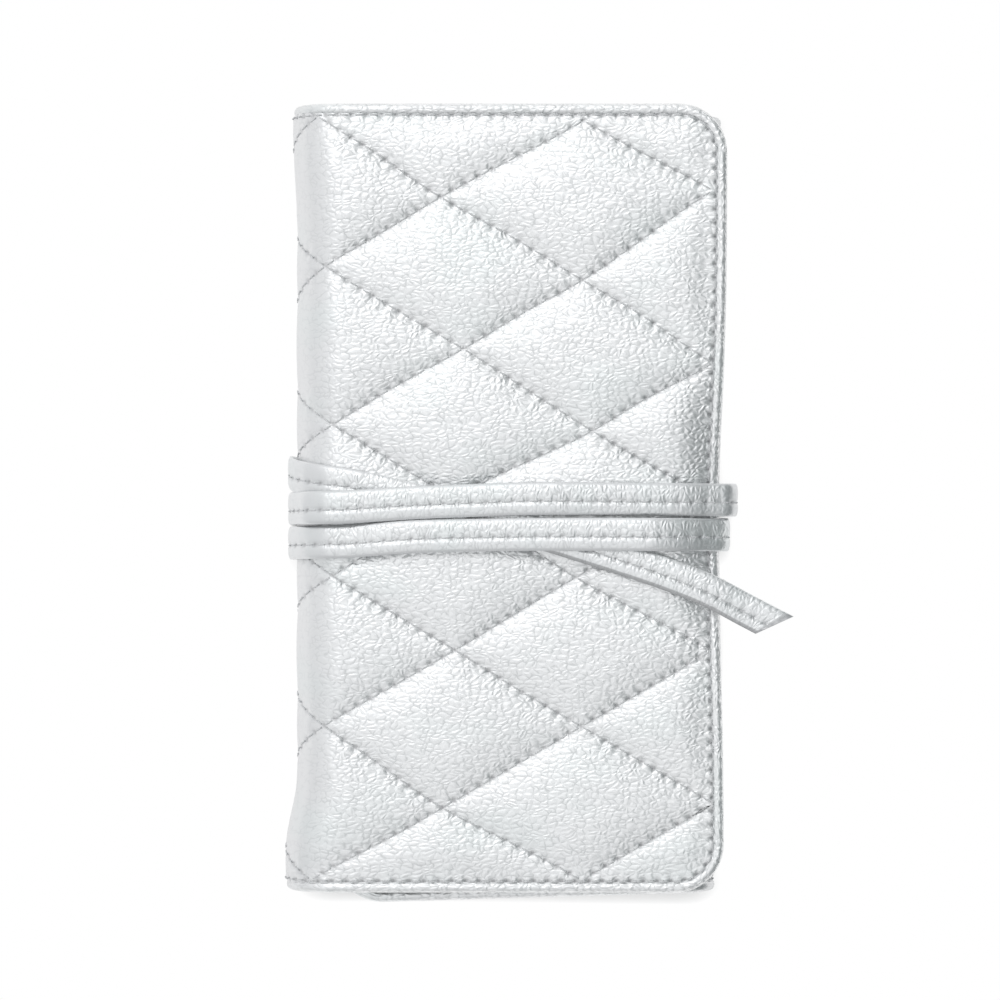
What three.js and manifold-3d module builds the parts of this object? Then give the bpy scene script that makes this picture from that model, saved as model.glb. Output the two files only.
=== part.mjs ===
// A quilted leather jewellery roll, folded in three and tied shut with a wound strap.
// Millimetres, +Z up. It lies on its back panel, with the long edges along Y and the flap's free edge at +X.
import * as THREE from "three";
import { mergeVertices } from "three/addons/utils/BufferGeometryUtils.js";
import Module from "manifold-3d";

// Plan of the folded roll
const COVER_LENGTH = 229;
const ROLL_WIDTH = 125;
const RIGHT_FOLD_INSET = 2;
const FLAP_GUTTER = 9.2;
const INNER_FLAP_SKEW = 3;
const CORNER_RADIUS = 11.5;
const EDGE_WAIST = 2.2;
const WAIST_REACH = 45;

// Layers of the padded panels, counted inwards from the crest of the quilting
const QUILT_DEPTH = 2.2;
const LEATHER = 1;
const WADDING_AT_SEAM = 1;
const LINING = 1;
const LAYER_GAP = 0.3;
const HINGE_GAP = 0.3;
const TURNED_EDGE = 1.2;
const LINING_INSET = 1;

// Quilting: diamonds between two families of stitch lines
const QUILT_COLUMN = 37.6;
const QUILT_ROW = 44.3;
const QUILT_START = 4.7;
const QUILT_ROUNDNESS = 0.5;
const SEAM_MARGIN = 3;
const SEAM_RISE = 6;
const REST_FLATTENING = 0.7;

// Zip pocket on the back panel
const ZIP_FROM_FOLD = 12.5;
const ZIP_END_MARGIN = 19.5;
const TAPE_WIDTH = 11;
const TAPE_THICKNESS = 0.6;
const COIL_WIDTH = 1.7;
const COIL_HEIGHT = 1.2;
const COIL_GAP = 0.3;
const STOP_LENGTH = 2.5;
const SLIDER_LENGTH = 11;
const SLIDER_PLATE = 0.8;
const SLIDER_WALL = 0.9;
const BAIL_WIDTH = 2;
const BAIL_LENGTH = 6;
const BAIL_WIRE = 0.7;
const PULL_LENGTH = 10;
const PULL_WIDTH = 5;
const PULL_THICKNESS = 0.6;
const PULL_CLEARANCE = 0.3;
const POCKET_THICKNESS = 0.8;
const POCKET_END_MARGIN = 12;
const POCKET_OVER_TAPE = 6;
const POCKET_EDGE = 4;

// Ring bar across the zip pocket, sewn at the right and snapped at the left
const RING_BAR_Y = 25;
const RING_BAR_WIDTH = 9;
const RING_BAR_HEIGHT = 4.6;
const RING_BAR_LIFT = 1;
const RING_BAR_ROUND = 2;
const SLEEVE = 0.7;
const TAB_LENGTH = 7;
const TAB_THICKNESS = 0.8;
const END_TAB_LENGTH = 10;
const SNAP_RADIUS = 4;
const SNAP_HEAD_RADIUS = 1.7;
const SNAP_PLAY = 0.4;
const STUD_BASE = 0.5;
const STUD_HEAD = 1.3;
const SOCKET_HEIGHT = 1.3;
const CAP_HEIGHT = 1;
const HEADROOM = 0.7;

// Slip pocket on the top flap's lining
const SLIP_FROM_EDGE = 7;
const SLIP_WIDTH = 78;
const SLIP_HEM = 5;
const FLAP_CLEARANCE = 3.2;

// Tie strap and the groove that it presses into the back
const STRAP_WIDTH = 9;
const STRAP_THICKNESS = 1.8;
const STRAP_BEVEL = 0.5;
const STRAP_SEAT_GAP = 0.3;
const STRAP_OVERLAP_GAP = 0.5;
const STRAP_GROUND_GAP = 0.3;
const GROOVE_DEPTH = 2.7;
const GROOVE_MARGIN = 1.5;
const GROOVE_RAMP = 6;
const FLAP_EDGE_ROUND = 2;
const LOOSE_TURN = 2;
const TIP_CUT = 7.5;

// Heights and places that follow from the sizes above
const SHELL_IN = QUILT_DEPTH + LEATHER;
const WADDING_OUT = LEATHER + LAYER_GAP;
const WADDING_IN = SHELL_IN + LAYER_GAP + WADDING_AT_SEAM;
const LINING_OUT = WADDING_IN + LAYER_GAP;
const PANEL = LINING_OUT + LINING;
const TAPE_Z = PANEL + LAYER_GAP;
const POCKET_Z = PANEL + LAYER_GAP;
const RING_BAR_Z = POCKET_Z + POCKET_THICKNESS + RING_BAR_LIFT;
const INTERIOR = RING_BAR_Z + RING_BAR_HEIGHT + HEADROOM - PANEL;
const RIGHT_FOLD_RADIUS = PANEL + INTERIOR / 2;
const ROLL_HEIGHT = 3 * PANEL + INTERIOR + FLAP_CLEARANCE;
const LEFT_FOLD_RADIUS = ROLL_HEIGHT / 2;
const RIGHT_EDGE = ROLL_WIDTH / 2;
const LEFT_X = LEFT_FOLD_RADIUS - ROLL_WIDTH / 2;
const RIGHT_X = RIGHT_EDGE - RIGHT_FOLD_INSET - RIGHT_FOLD_RADIUS;
const HALF_LENGTH = COVER_LENGTH / 2;
const ZIP_HALF = HALF_LENGTH - ZIP_END_MARGIN;
const POCKET_LENGTH = COVER_LENGTH - 2 * POCKET_END_MARGIN;

// Lengths along the cover, from the top flap's free edge to the inner flap's free edge
const FLAP_FLAT = RIGHT_EDGE - LEFT_X;
const LEFT_END = FLAP_FLAT + Math.PI * LEFT_FOLD_RADIUS;
const BACK_END = LEFT_END + RIGHT_X - LEFT_X;
const RIGHT_END = BACK_END + Math.PI * RIGHT_FOLD_RADIUS;
const COVER_END = RIGHT_END + RIGHT_X - (LEFT_X - LEFT_FOLD_RADIUS + PANEL + FLAP_GUTTER);
const LEFT_UPPER_HINGE = FLAP_FLAT + (Math.PI / 4) * LEFT_FOLD_RADIUS;
const LEFT_LOWER_HINGE = LEFT_END - (Math.PI / 4) * LEFT_FOLD_RADIUS;
const RIGHT_LOWER_HINGE = BACK_END + (Math.PI / 4) * RIGHT_FOLD_RADIUS;
const RIGHT_UPPER_HINGE = RIGHT_END - (Math.PI / 4) * RIGHT_FOLD_RADIUS;

// Tie route: height along Y of each band where it passes the left fold, the front and the right edge
const BAND_LOWER_LEFT = -13.2;
const BAND_LOWER_FRONT = [[-27, -11], [6, -10.4], [40, -10.5]];
const BAND_LOWER_RIGHT = -10.7;
const BAND_UPPER_LEFT = -3.2;
const BAND_UPPER_FRONT = [[-27, -1.3], [6, -0.1], [40, -0.4]];
const BAND_UPPER_RIGHT = -0.6;
const TAIL_LEFT = 7.5;
const TAIL_FRONT = [[-47.5, 3.9], [-30, -0.2], [-10, -5], [10, -10.6], [30, -16.9], [42, -20.9], [52, -24.7]];
const TAIL_END = [[59, -27.8], [67, -32.1], [74, -35.8]];
const ANCHOR = [0, -17];

const LEATHER_FINISH = { color: 0xd9dcde, roughness: 0.38, metalness: 0.55 };
const WADDING_FINISH = { color: 0xf2f0ea, roughness: 0.95, metalness: 0 };
const LINING_FINISH = { color: 0xc9c6c4, roughness: 0.9, metalness: 0 };
const TAPE_FINISH = { color: 0xb9b9b9, roughness: 0.85, metalness: 0 };
const METAL_FINISH = { color: 0xc8c8c4, roughness: 0.25, metalness: 1 };

const wasm = await Module();
wasm.setup();

const roll = new THREE.Group();

function addPiece(name, geometry, finish) {
  const mesh = new THREE.Mesh(geometry, new THREE.MeshStandardMaterial(finish));
  mesh.name = name;
  roll.add(mesh);
  return mesh;
}

function toManifold(geometry) {
  const bare = new THREE.BufferGeometry();
  bare.setAttribute("position", geometry.getAttribute("position").clone());
  bare.setIndex(geometry.index);
  const merged = mergeVertices(bare, 1e-4);
  return new wasm.Manifold(
    new wasm.Mesh({
      numProp: 3,
      vertProperties: new Float32Array(merged.getAttribute("position").array),
      triVerts: new Uint32Array(merged.index.array),
    }),
  );
}

function joined(first, second) {
  const mesh = toManifold(first).add(toManifold(second)).getMesh();
  const geometry = new THREE.BufferGeometry();
  geometry.setAttribute("position", new THREE.BufferAttribute(mesh.vertProperties, 3));
  geometry.setIndex(new THREE.BufferAttribute(mesh.triVerts, 1));
  return geometry;
}

// A box from its low corner to its high corner.
function boxBetween(low, high) {
  const size = low.map((v, i) => high[i] - v);
  const middle = low.map((v, i) => (high[i] + v) / 2);
  return new THREE.BoxGeometry(...size).translate(...middle);
}

function clamp01(value) {
  return Math.min(1, Math.max(0, value));
}

// Value at a place between keys, straight between them and level outside.
function between(keys, place) {
  const next = keys.findIndex((key) => key[0] >= place);
  if (next === 0) return keys[0][1];
  if (next < 0) return keys[keys.length - 1][1];
  const [a, b] = [keys[next - 1], keys[next]];
  return a[1] + ((b[1] - a[1]) * (place - a[0])) / (b[0] - a[0]);
}

// The cover's section: a place along it and a depth below the quilting's crest, as X and Z.
function coverPoint(along, depth) {
  if (along < FLAP_FLAT) return [RIGHT_EDGE - along, ROLL_HEIGHT - depth];
  if (along < LEFT_END) {
    const angle = Math.PI / 2 + (along - FLAP_FLAT) / LEFT_FOLD_RADIUS;
    const radius = LEFT_FOLD_RADIUS - depth;
    return [LEFT_X + radius * Math.cos(angle), LEFT_FOLD_RADIUS + radius * Math.sin(angle)];
  }
  if (along < BACK_END) return [LEFT_X + along - LEFT_END, depth];
  if (along < RIGHT_END) {
    const angle = (along - BACK_END) / RIGHT_FOLD_RADIUS - Math.PI / 2;
    const radius = RIGHT_FOLD_RADIUS - depth;
    return [RIGHT_X + radius * Math.cos(angle), RIGHT_FOLD_RADIUS + radius * Math.sin(angle)];
  }
  return [RIGHT_X - along + RIGHT_END, 2 * RIGHT_FOLD_RADIUS - depth];
}

// Height of the quilting between its stitch lines, 0 on a line and 1 in the middle of a diamond.
function pillow(along, y) {
  const wave = (t) => 4 * (t - Math.floor(t)) * (1 - t + Math.floor(t));
  const a = (along - QUILT_START) / (2 * QUILT_COLUMN);
  const b = y / QUILT_ROW;
  return (wave(a + b) * wave(a - b)) ** QUILT_ROUNDNESS;
}

// How far the free edge stands back at a height along Y: round corners, and the waist that the tie draws in.
function edgeSetback(y, inset, waist) {
  const radius = CORNER_RADIUS - inset;
  const rise = Math.max(0, Math.abs(y) - (HALF_LENGTH - CORNER_RADIUS));
  const corner = radius - Math.sqrt(Math.max(0, radius * radius - rise * rise));
  return inset + corner + waist * Math.exp(-(((y - TIE_MIDDLE) / WAIST_REACH) ** 2));
}

// The groove under the back runs from the lowest to the highest strap pass.
const TIE_MIDDLE = (BAND_UPPER_RIGHT + BAND_LOWER_RIGHT) / 2;
const GROOVE_LOW = ANCHOR[1] - STRAP_WIDTH / 2 - GROOVE_MARGIN;
const GROOVE_HIGH = TAIL_LEFT + STRAP_WIDTH / 2 + GROOVE_MARGIN;

function grooveRoof(y) {
  const outside = Math.max(GROOVE_LOW - y, y - GROOVE_HIGH);
  return GROOVE_DEPTH * (1 - clamp01(outside / GROOVE_RAMP));
}

// A closed sheet through rows of paired outer and inner points. A quad splits along its most level diagonal and,
// of two level ones, along the lower, so that a stitch line is a valley and the middle of a diamond is flat.
const LEVEL = 1e-6;

function sheetSolid(rows) {
  const count = rows[0].outer.length;
  const points = rows.flatMap((row) => [...row.outer, ...row.inner]);
  const faces = [];
  const outer = (j, i) => j * 2 * count + i;
  const inner = (j, i) => j * 2 * count + count + i;
  const quad = (a, b, c, d, split) =>
    split ? faces.push([a, b, d], [b, c, d]) : faces.push([a, b, c], [a, c, d]);
  for (let j = 0; j + 1 < rows.length; j++) {
    for (let i = 0; i + 1 < count; i++) {
      const [a, b] = [rows[j].crest[i], rows[j + 1].crest[i + 1]];
      const [c, d] = [rows[j].crest[i + 1], rows[j + 1].crest[i]];
      const tilt = Math.abs(a - b) - Math.abs(c - d);
      const split = Math.abs(tilt) < LEVEL ? a + b > c + d : tilt > 0;
      quad(outer(j, i), outer(j, i + 1), outer(j + 1, i + 1), outer(j + 1, i), split);
      quad(inner(j, i), inner(j + 1, i), inner(j + 1, i + 1), inner(j, i + 1), split);
    }
    quad(outer(j, 0), outer(j + 1, 0), inner(j + 1, 0), inner(j, 0), false);
    const end = count - 1;
    quad(outer(j, end), inner(j, end), inner(j + 1, end), outer(j + 1, end), false);
  }
  const last = rows.length - 1;
  for (let i = 0; i + 1 < count; i++) {
    quad(outer(0, i), inner(0, i), inner(0, i + 1), outer(0, i + 1), false);
    quad(outer(last, i), outer(last, i + 1), inner(last, i + 1), inner(last, i), false);
  }
  return facedOut(points, faces);
}

// Geometry from points and triangles, turned so that its faces point outwards.
function facedOut(points, faces) {
  let volume = 0;
  for (const [a, b, c] of faces) {
    const [p, q, r] = [a, b, c].map((k) => new THREE.Vector3(...points[k]));
    volume += p.dot(q.cross(r));
  }
  const turned = volume < 0 ? faces.map(([a, b, c]) => [a, c, b]) : faces;
  const geometry = new THREE.BufferGeometry();
  geometry.setAttribute("position", new THREE.Float32BufferAttribute(points.flat(), 3));
  geometry.setIndex(turned.flat());
  return geometry;
}

// The five padded panels: their stretch of the cover, which end is free, what shapes them, and how finely
// each side of a quilted diamond is stepped.
const PANELS = {
  top_flap: { from: 0, to: LEFT_UPPER_HINGE, free: "start", waist: EDGE_WAIST, skew: 0, steps: 3 },
  left_spine: { from: LEFT_UPPER_HINGE, to: LEFT_LOWER_HINGE, skew: 0, steps: 3 },
  back: { from: LEFT_LOWER_HINGE, to: RIGHT_LOWER_HINGE, skew: 0, steps: 2, flattened: true },
  right_spine: { from: RIGHT_LOWER_HINGE, to: RIGHT_UPPER_HINGE, skew: 0, steps: 2 },
  inner_flap: { from: RIGHT_UPPER_HINGE, to: COVER_END, free: "end", waist: 0, skew: INNER_FLAP_SKEW, steps: 2 },
};
const WALL_STEP = 0.2;
const LEAST_COLUMN = 0.25;
const ARC_STEPS = 4;
const CORNER_STEPS = 4;
const WAIST_STEPS = 4;
const LEAST_ROW = 1.2;

// Places along the cover where a panel's section has a point: the folds' arcs and, on leather, the quilting.
function columnsOf(panel, quilted) {
  const arcs = [[FLAP_FLAT, LEFT_END], [BACK_END, RIGHT_END]];
  const places = arcs.flatMap(([start, end]) =>
    Array.from({ length: 2 * ARC_STEPS + 1 }, (_, i) => start + ((end - start) * i) / (2 * ARC_STEPS)),
  );
  const step = QUILT_COLUMN / panel.steps;
  const onArc = (place) => arcs.some(([start, end]) => place > start && place < end);
  for (let place = QUILT_START; quilted && place < COVER_END; place += step) {
    if (!onArc(place)) places.push(place);
  }
  const margin = 2 * TURNED_EDGE;
  const inside = places.filter((place) => place > panel.from + margin && place < panel.to - margin);
  inside.sort((a, b) => a - b);
  return inside.filter((place, i) => i === 0 || place - inside[i - 1] > LEAST_ROW);
}

// Heights along Y where a panel has a row of points, inside a border of the given inset.
function rowsOf(panel, quilted, inset) {
  const end = HALF_LENGTH - inset;
  const places = [];
  const step = QUILT_ROW / (2 * panel.steps);
  for (let y = 0; quilted && y < HALF_LENGTH - SEAM_MARGIN; y += step) places.push(y);
  if (quilted) places.push(HALF_LENGTH - SEAM_MARGIN);
  for (let i = 0; panel.free && i < CORNER_STEPS; i++) {
    const turn = (i * Math.PI) / 2 / CORNER_STEPS;
    places.push(HALF_LENGTH - CORNER_RADIUS + (CORNER_RADIUS - inset) * Math.sin(turn));
  }
  const both = places.flatMap((y) => [y, -y]);
  if (panel.flattened) both.push(GROOVE_LOW - GROOVE_RAMP, GROOVE_LOW, GROOVE_HIGH, GROOVE_HIGH + GROOVE_RAMP);
  for (let i = -WAIST_STEPS; panel.waist && !quilted && i <= WAIST_STEPS; i++) {
    both.push(TIE_MIDDLE + (2 * WAIST_REACH * i) / WAIST_STEPS);
  }
  const wall = quilted ? [TURNED_EDGE, TURNED_EDGE + WALL_STEP] : [];
  const limit = end - (quilted ? TURNED_EDGE : 0) - LEAST_ROW;
  const middle = both.filter((y) => Math.abs(y) < limit).sort((a, b) => a - b);
  const kept = middle.filter((y, i) => i === 0 || y - middle[i - 1] > LEAST_ROW);
  const border = [end, ...wall.map((w) => end - w)];
  return [...border.map((y) => -y), ...kept, ...border.reverse()];
}

// One layer of a panel, between two depths that may follow the quilting.
function panelLayer(panel, { quilted, inset, outerDepth, innerDepth, underGroove }) {
  const columns = columnsOf(panel, quilted);
  const edgeColumns = quilted ? [0, TURNED_EDGE, TURNED_EDGE + WALL_STEP] : [0];
  const sections = rowsOf(panel, quilted, inset).map((y) => {
    const row = { outer: [], inner: [], crest: [] };
    const setback = panel.free ? edgeSetback(y, inset, panel.waist) : 0;
    const nearEnd = HALF_LENGTH - Math.abs(y) < TURNED_EDGE + inset + WALL_STEP / 2;
    const add = (along, shift, wall, fromEdge) => {
      const border = clamp01((HALF_LENGTH - Math.abs(y) - SEAM_MARGIN) / SEAM_RISE);
      const edge = panel.free ? clamp01((fromEdge - SEAM_MARGIN) / SEAM_RISE) : 1;
      const raw = pillow(along, y) * border * edge;
      const crest = panel.flattened ? Math.min(1, raw / REST_FLATTENING) : raw;
      const dip = QUILT_DEPTH * (1 - crest);
      const ahead = (a) => coverPoint(along + a, 0);
      const tangent = new THREE.Vector2(...ahead(0.01)).sub(new THREE.Vector2(...ahead(-0.01)));
      tangent.setLength(shift);
      const slide = (-panel.skew * (along - panel.from)) / (panel.to - panel.from);
      const place = (depth, groove) => {
        const [x, z] = coverPoint(along, depth);
        const floor = panel.flattened && groove !== null ? grooveRoof(y) + groove : z;
        return [x + tangent.x, y + slide, Math.max(z + tangent.y, floor)];
      };
      row.crest.push(crest);
      row.outer.push(place(outerDepth(dip), underGroove));
      row.inner.push(place(innerDepth(dip, wall || nearEnd), quilted && !nearEnd ? LEATHER : null));
    };
    const freeStart = panel.free === "start";
    const freeEnd = panel.free === "end";
    const startEdge = panel.from + setback;
    const lastEdge = panel.to - setback;
    const least = edgeColumns[edgeColumns.length - 1];
    if (freeStart) edgeColumns.forEach((e) => add(startEdge + e, 0, e <= TURNED_EDGE, e));
    else add(panel.from, HINGE_GAP / 2, false, SEAM_MARGIN + SEAM_RISE);
    columns.forEach((place, i) => {
      const low = freeStart ? startEdge + least + LEAST_COLUMN * (i + 1) : panel.from;
      const high = freeEnd ? lastEdge - least - LEAST_COLUMN * (columns.length - i) : panel.to;
      const along = Math.min(Math.max(place, low), high);
      const fromEdge = freeStart ? along - startEdge : lastEdge - along;
      add(along, 0, false, fromEdge);
    });
    const ends = [...edgeColumns].reverse();
    if (freeEnd) ends.forEach((e) => add(lastEdge - e, 0, e <= TURNED_EDGE, e));
    else add(panel.to, -HINGE_GAP / 2, false, SEAM_MARGIN + SEAM_RISE);
    return row;
  });
  return sheetSolid(sections);
}

// Leather with a turned edge, wadding inside it and lining over both, for every panel.
const RIM_DEPTH = WADDING_IN;
for (const [name, panel] of Object.entries(PANELS)) {
  const leather = panelLayer(panel, {
    quilted: true,
    inset: 0,
    outerDepth: (dip) => dip,
    innerDepth: (dip, wall) => (wall ? RIM_DEPTH : dip + LEATHER),
    underGroove: 0,
  });
  addPiece(`${name}_shell`, leather, LEATHER_FINISH);
  const wadding = panelLayer(panel, {
    quilted: false,
    inset: TURNED_EDGE + WALL_STEP + LAYER_GAP,
    outerDepth: () => QUILT_DEPTH + WADDING_OUT,
    innerDepth: () => WADDING_IN,
    underGroove: WADDING_OUT,
  });
  addPiece(`${name}_wadding`, wadding, WADDING_FINISH);
  const lining = panelLayer(panel, {
    quilted: false,
    inset: LINING_INSET,
    outerDepth: () => LINING_OUT,
    innerDepth: () => PANEL,
    underGroove: null,
  });
  addPiece(`${name}_lining`, lining, LINING_FINISH);
}

// Zip pocket: tapes on the lining, coils on the tapes, and a pocket panel sewn over the right tape.
const ZIP_X = LEFT_X + ZIP_FROM_FOLD;
const COIL_Z = TAPE_Z + TAPE_THICKNESS + LAYER_GAP;
const COIL_END = ZIP_HALF - STOP_LENGTH - LAYER_GAP;
const ZIP_SPREAD = COIL_GAP / 2 + COIL_WIDTH;
for (const [side, name] of [[-1, "left"], [1, "right"]]) {
  const near = ZIP_X + (side * COIL_GAP) / 2;
  const far = near + side * TAPE_WIDTH;
  const tape = boxBetween(
    [Math.min(near, far), -ZIP_HALF, TAPE_Z],
    [Math.max(near, far), ZIP_HALF, TAPE_Z + TAPE_THICKNESS],
  );
  addPiece(`zip_tape_${name}`, tape, TAPE_FINISH);
  const section = new THREE.Shape();
  section.moveTo(0, 0);
  section.lineTo(COIL_WIDTH, 0);
  section.lineTo(COIL_WIDTH, COIL_HEIGHT / 2);
  section.lineTo(COIL_WIDTH / 2, COIL_HEIGHT);
  section.lineTo(0, COIL_HEIGHT / 2);
  const coil = new THREE.ExtrudeGeometry(section, { depth: 2 * COIL_END, bevelEnabled: false });
  coil.rotateX(Math.PI / 2);
  coil.translate(side > 0 ? near : near - COIL_WIDTH, COIL_END, COIL_Z);
  addPiece(`zip_coil_${name}`, coil, TAPE_FINISH);
}
for (const [side, name] of [[1, "top"], [-1, "bottom"]]) {
  const ends = [side * ZIP_HALF, side * (ZIP_HALF - STOP_LENGTH)];
  const stop = boxBetween(
    [ZIP_X - ZIP_SPREAD, Math.min(...ends), COIL_Z],
    [ZIP_X + ZIP_SPREAD, Math.max(...ends), COIL_Z + COIL_HEIGHT],
  );
  addPiece(`zip_${name}_stop`, stop, METAL_FINISH);
}

// Slider: a channel astride the coils with a bail on its back, and a pull whose bar passes under the bail.
const SLIDER_Y = COIL_END - SLIDER_LENGTH / 2;
const SLIDER_TOP = COIL_Z + COIL_HEIGHT + LAYER_GAP + SLIDER_PLATE;
const SLIDER_HALF = ZIP_SPREAD + LAYER_GAP + SLIDER_WALL;
const channel = new THREE.Shape();
channel.moveTo(-SLIDER_HALF, COIL_Z);
channel.lineTo(SLIDER_WALL - SLIDER_HALF, COIL_Z);
channel.lineTo(SLIDER_WALL - SLIDER_HALF, SLIDER_TOP - SLIDER_PLATE);
channel.lineTo(SLIDER_HALF - SLIDER_WALL, SLIDER_TOP - SLIDER_PLATE);
channel.lineTo(SLIDER_HALF - SLIDER_WALL, COIL_Z);
channel.lineTo(SLIDER_HALF, COIL_Z);
channel.lineTo(SLIDER_HALF, SLIDER_TOP);
channel.lineTo(-SLIDER_HALF, SLIDER_TOP);
const sliderBody = new THREE.ExtrudeGeometry(channel, { depth: SLIDER_LENGTH, bevelEnabled: false });
sliderBody.rotateX(Math.PI / 2);
sliderBody.translate(ZIP_X, SLIDER_Y + SLIDER_LENGTH / 2, 0);
const BAIL_RISE = PULL_THICKNESS + 2 * PULL_CLEARANCE;
const BAIL_ROOT = SLIDER_PLATE / 2;
const bail = new THREE.Shape();
bail.moveTo(-BAIL_LENGTH / 2, -BAIL_ROOT);
bail.lineTo(BAIL_LENGTH / 2, -BAIL_ROOT);
bail.lineTo(BAIL_LENGTH / 2, BAIL_RISE + BAIL_WIRE);
bail.lineTo(-BAIL_LENGTH / 2, BAIL_RISE + BAIL_WIRE);
const bailHole = new THREE.Path();
bailHole.moveTo(BAIL_WIRE - BAIL_LENGTH / 2, 0);
bailHole.lineTo(BAIL_LENGTH / 2 - BAIL_WIRE, 0);
bailHole.lineTo(BAIL_LENGTH / 2 - BAIL_WIRE, BAIL_RISE);
bailHole.lineTo(BAIL_WIRE - BAIL_LENGTH / 2, BAIL_RISE);
bail.holes.push(bailHole);
const bailBody = new THREE.ExtrudeGeometry(bail, { depth: BAIL_WIDTH, bevelEnabled: false });
bailBody.rotateX(Math.PI / 2);
bailBody.rotateZ(Math.PI / 2);
bailBody.translate(ZIP_X - BAIL_WIDTH / 2, SLIDER_Y, SLIDER_TOP);
addPiece("zip_slider", joined(sliderBody, bailBody), METAL_FINISH);

const PULL_BAR = 0.8;
const PULL_EYE = BAIL_WIDTH / 2 + PULL_CLEARANCE;
const EYE_LENGTH = BAIL_LENGTH / 2 + PULL_CLEARANCE;
const pull = new THREE.Shape();
pull.moveTo(-PULL_WIDTH / 2, -PULL_BAR / 2);
pull.lineTo(PULL_WIDTH / 2, -PULL_BAR / 2);
pull.lineTo(PULL_WIDTH / 2, PULL_LENGTH - PULL_WIDTH / 2);
pull.absarc(0, PULL_LENGTH - PULL_WIDTH / 2, PULL_WIDTH / 2, 0, Math.PI, false);
pull.lineTo(-PULL_WIDTH / 2, -PULL_BAR / 2);
const eye = new THREE.Path();
eye.moveTo(-PULL_EYE, PULL_BAR / 2);
eye.lineTo(PULL_EYE, PULL_BAR / 2);
eye.lineTo(PULL_EYE, EYE_LENGTH);
eye.lineTo(-PULL_EYE, EYE_LENGTH);
pull.holes.push(eye);
const pullBody = new THREE.ExtrudeGeometry(pull, {
  depth: PULL_THICKNESS,
  bevelEnabled: false,
  curveSegments: 6,
});
pullBody.rotateZ(Math.PI);
pullBody.translate(ZIP_X, SLIDER_Y, SLIDER_TOP + PULL_CLEARANCE);
addPiece("zip_pull", pullBody, METAL_FINISH);

// Pocket panel: a lip over the right tape's outer edge, then flat on the lining to near the right fold.
const LIP_X = ZIP_X + COIL_GAP / 2 + TAPE_WIDTH - POCKET_OVER_TAPE;
const STEP_X = ZIP_X + COIL_GAP / 2 + TAPE_WIDTH + LAYER_GAP;
const LIP_Z = TAPE_Z + TAPE_THICKNESS + LAYER_GAP;
const POCKET_RIGHT = RIGHT_X - POCKET_EDGE;
const pocket = new THREE.Shape();
pocket.moveTo(LIP_X, LIP_Z);
pocket.lineTo(STEP_X, LIP_Z);
pocket.lineTo(STEP_X, POCKET_Z);
pocket.lineTo(POCKET_RIGHT, POCKET_Z);
pocket.lineTo(POCKET_RIGHT, POCKET_Z + POCKET_THICKNESS);
pocket.lineTo(STEP_X + POCKET_THICKNESS, POCKET_Z + POCKET_THICKNESS);
pocket.lineTo(STEP_X + POCKET_THICKNESS, LIP_Z + POCKET_THICKNESS);
pocket.lineTo(LIP_X, LIP_Z + POCKET_THICKNESS);
const pocketPanel = new THREE.ExtrudeGeometry(pocket, { depth: POCKET_LENGTH, bevelEnabled: false });
pocketPanel.rotateX(Math.PI / 2);
pocketPanel.translate(0, POCKET_LENGTH / 2, 0);
addPiece("zip_pocket_panel", pocketPanel, LINING_FINISH);

// Ring bar: a stuffed sleeve between a tab sewn to the pocket at the right and an end tab with a snap.
const POCKET_TOP = POCKET_Z + POCKET_THICKNESS;
const BAR_RIGHT = POCKET_RIGHT - TAB_LENGTH - LAYER_GAP;
const SNAP_X = STEP_X + POCKET_THICKNESS + LAYER_GAP + SNAP_RADIUS + SNAP_PLAY;
const BAR_LEFT = SNAP_X - SNAP_RADIUS + END_TAB_LENGTH + LAYER_GAP;

function roundedSection(width, height, radius) {
  const shape = new THREE.Shape();
  const [w, h] = [width / 2, height / 2];
  shape.moveTo(radius - w, -h);
  shape.lineTo(w - radius, -h);
  shape.absarc(w - radius, radius - h, radius, -Math.PI / 2, 0, false);
  shape.absarc(w - radius, h - radius, radius, 0, Math.PI / 2, false);
  shape.absarc(radius - w, h - radius, radius, Math.PI / 2, Math.PI, false);
  shape.absarc(radius - w, radius - h, radius, Math.PI, 1.5 * Math.PI, false);
  return shape;
}

function alongBar(shape) {
  const geometry = new THREE.ExtrudeGeometry(shape, {
    depth: BAR_RIGHT - BAR_LEFT,
    bevelEnabled: false,
    curveSegments: 4,
  });
  geometry.rotateX(Math.PI / 2);
  geometry.rotateZ(Math.PI / 2);
  return geometry.translate(BAR_LEFT, RING_BAR_Y, RING_BAR_Z + RING_BAR_HEIGHT / 2);
}

const sleeve = roundedSection(RING_BAR_WIDTH, RING_BAR_HEIGHT, RING_BAR_ROUND);
const CORE_INSET = 2 * (SLEEVE + LAYER_GAP);
const BORE_INSET = 2 * SLEEVE;
const bore = roundedSection(RING_BAR_WIDTH - BORE_INSET, RING_BAR_HEIGHT - BORE_INSET, RING_BAR_ROUND - SLEEVE);
sleeve.holes.push(new THREE.Path(bore.getPoints(4).reverse()));
addPiece("ring_bar_sleeve", alongBar(sleeve), LINING_FINISH);
const core = roundedSection(
  RING_BAR_WIDTH - CORE_INSET,
  RING_BAR_HEIGHT - CORE_INSET,
  RING_BAR_ROUND - SLEEVE - LAYER_GAP,
);
addPiece("ring_bar_core", alongBar(core), WADDING_FINISH);

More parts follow.
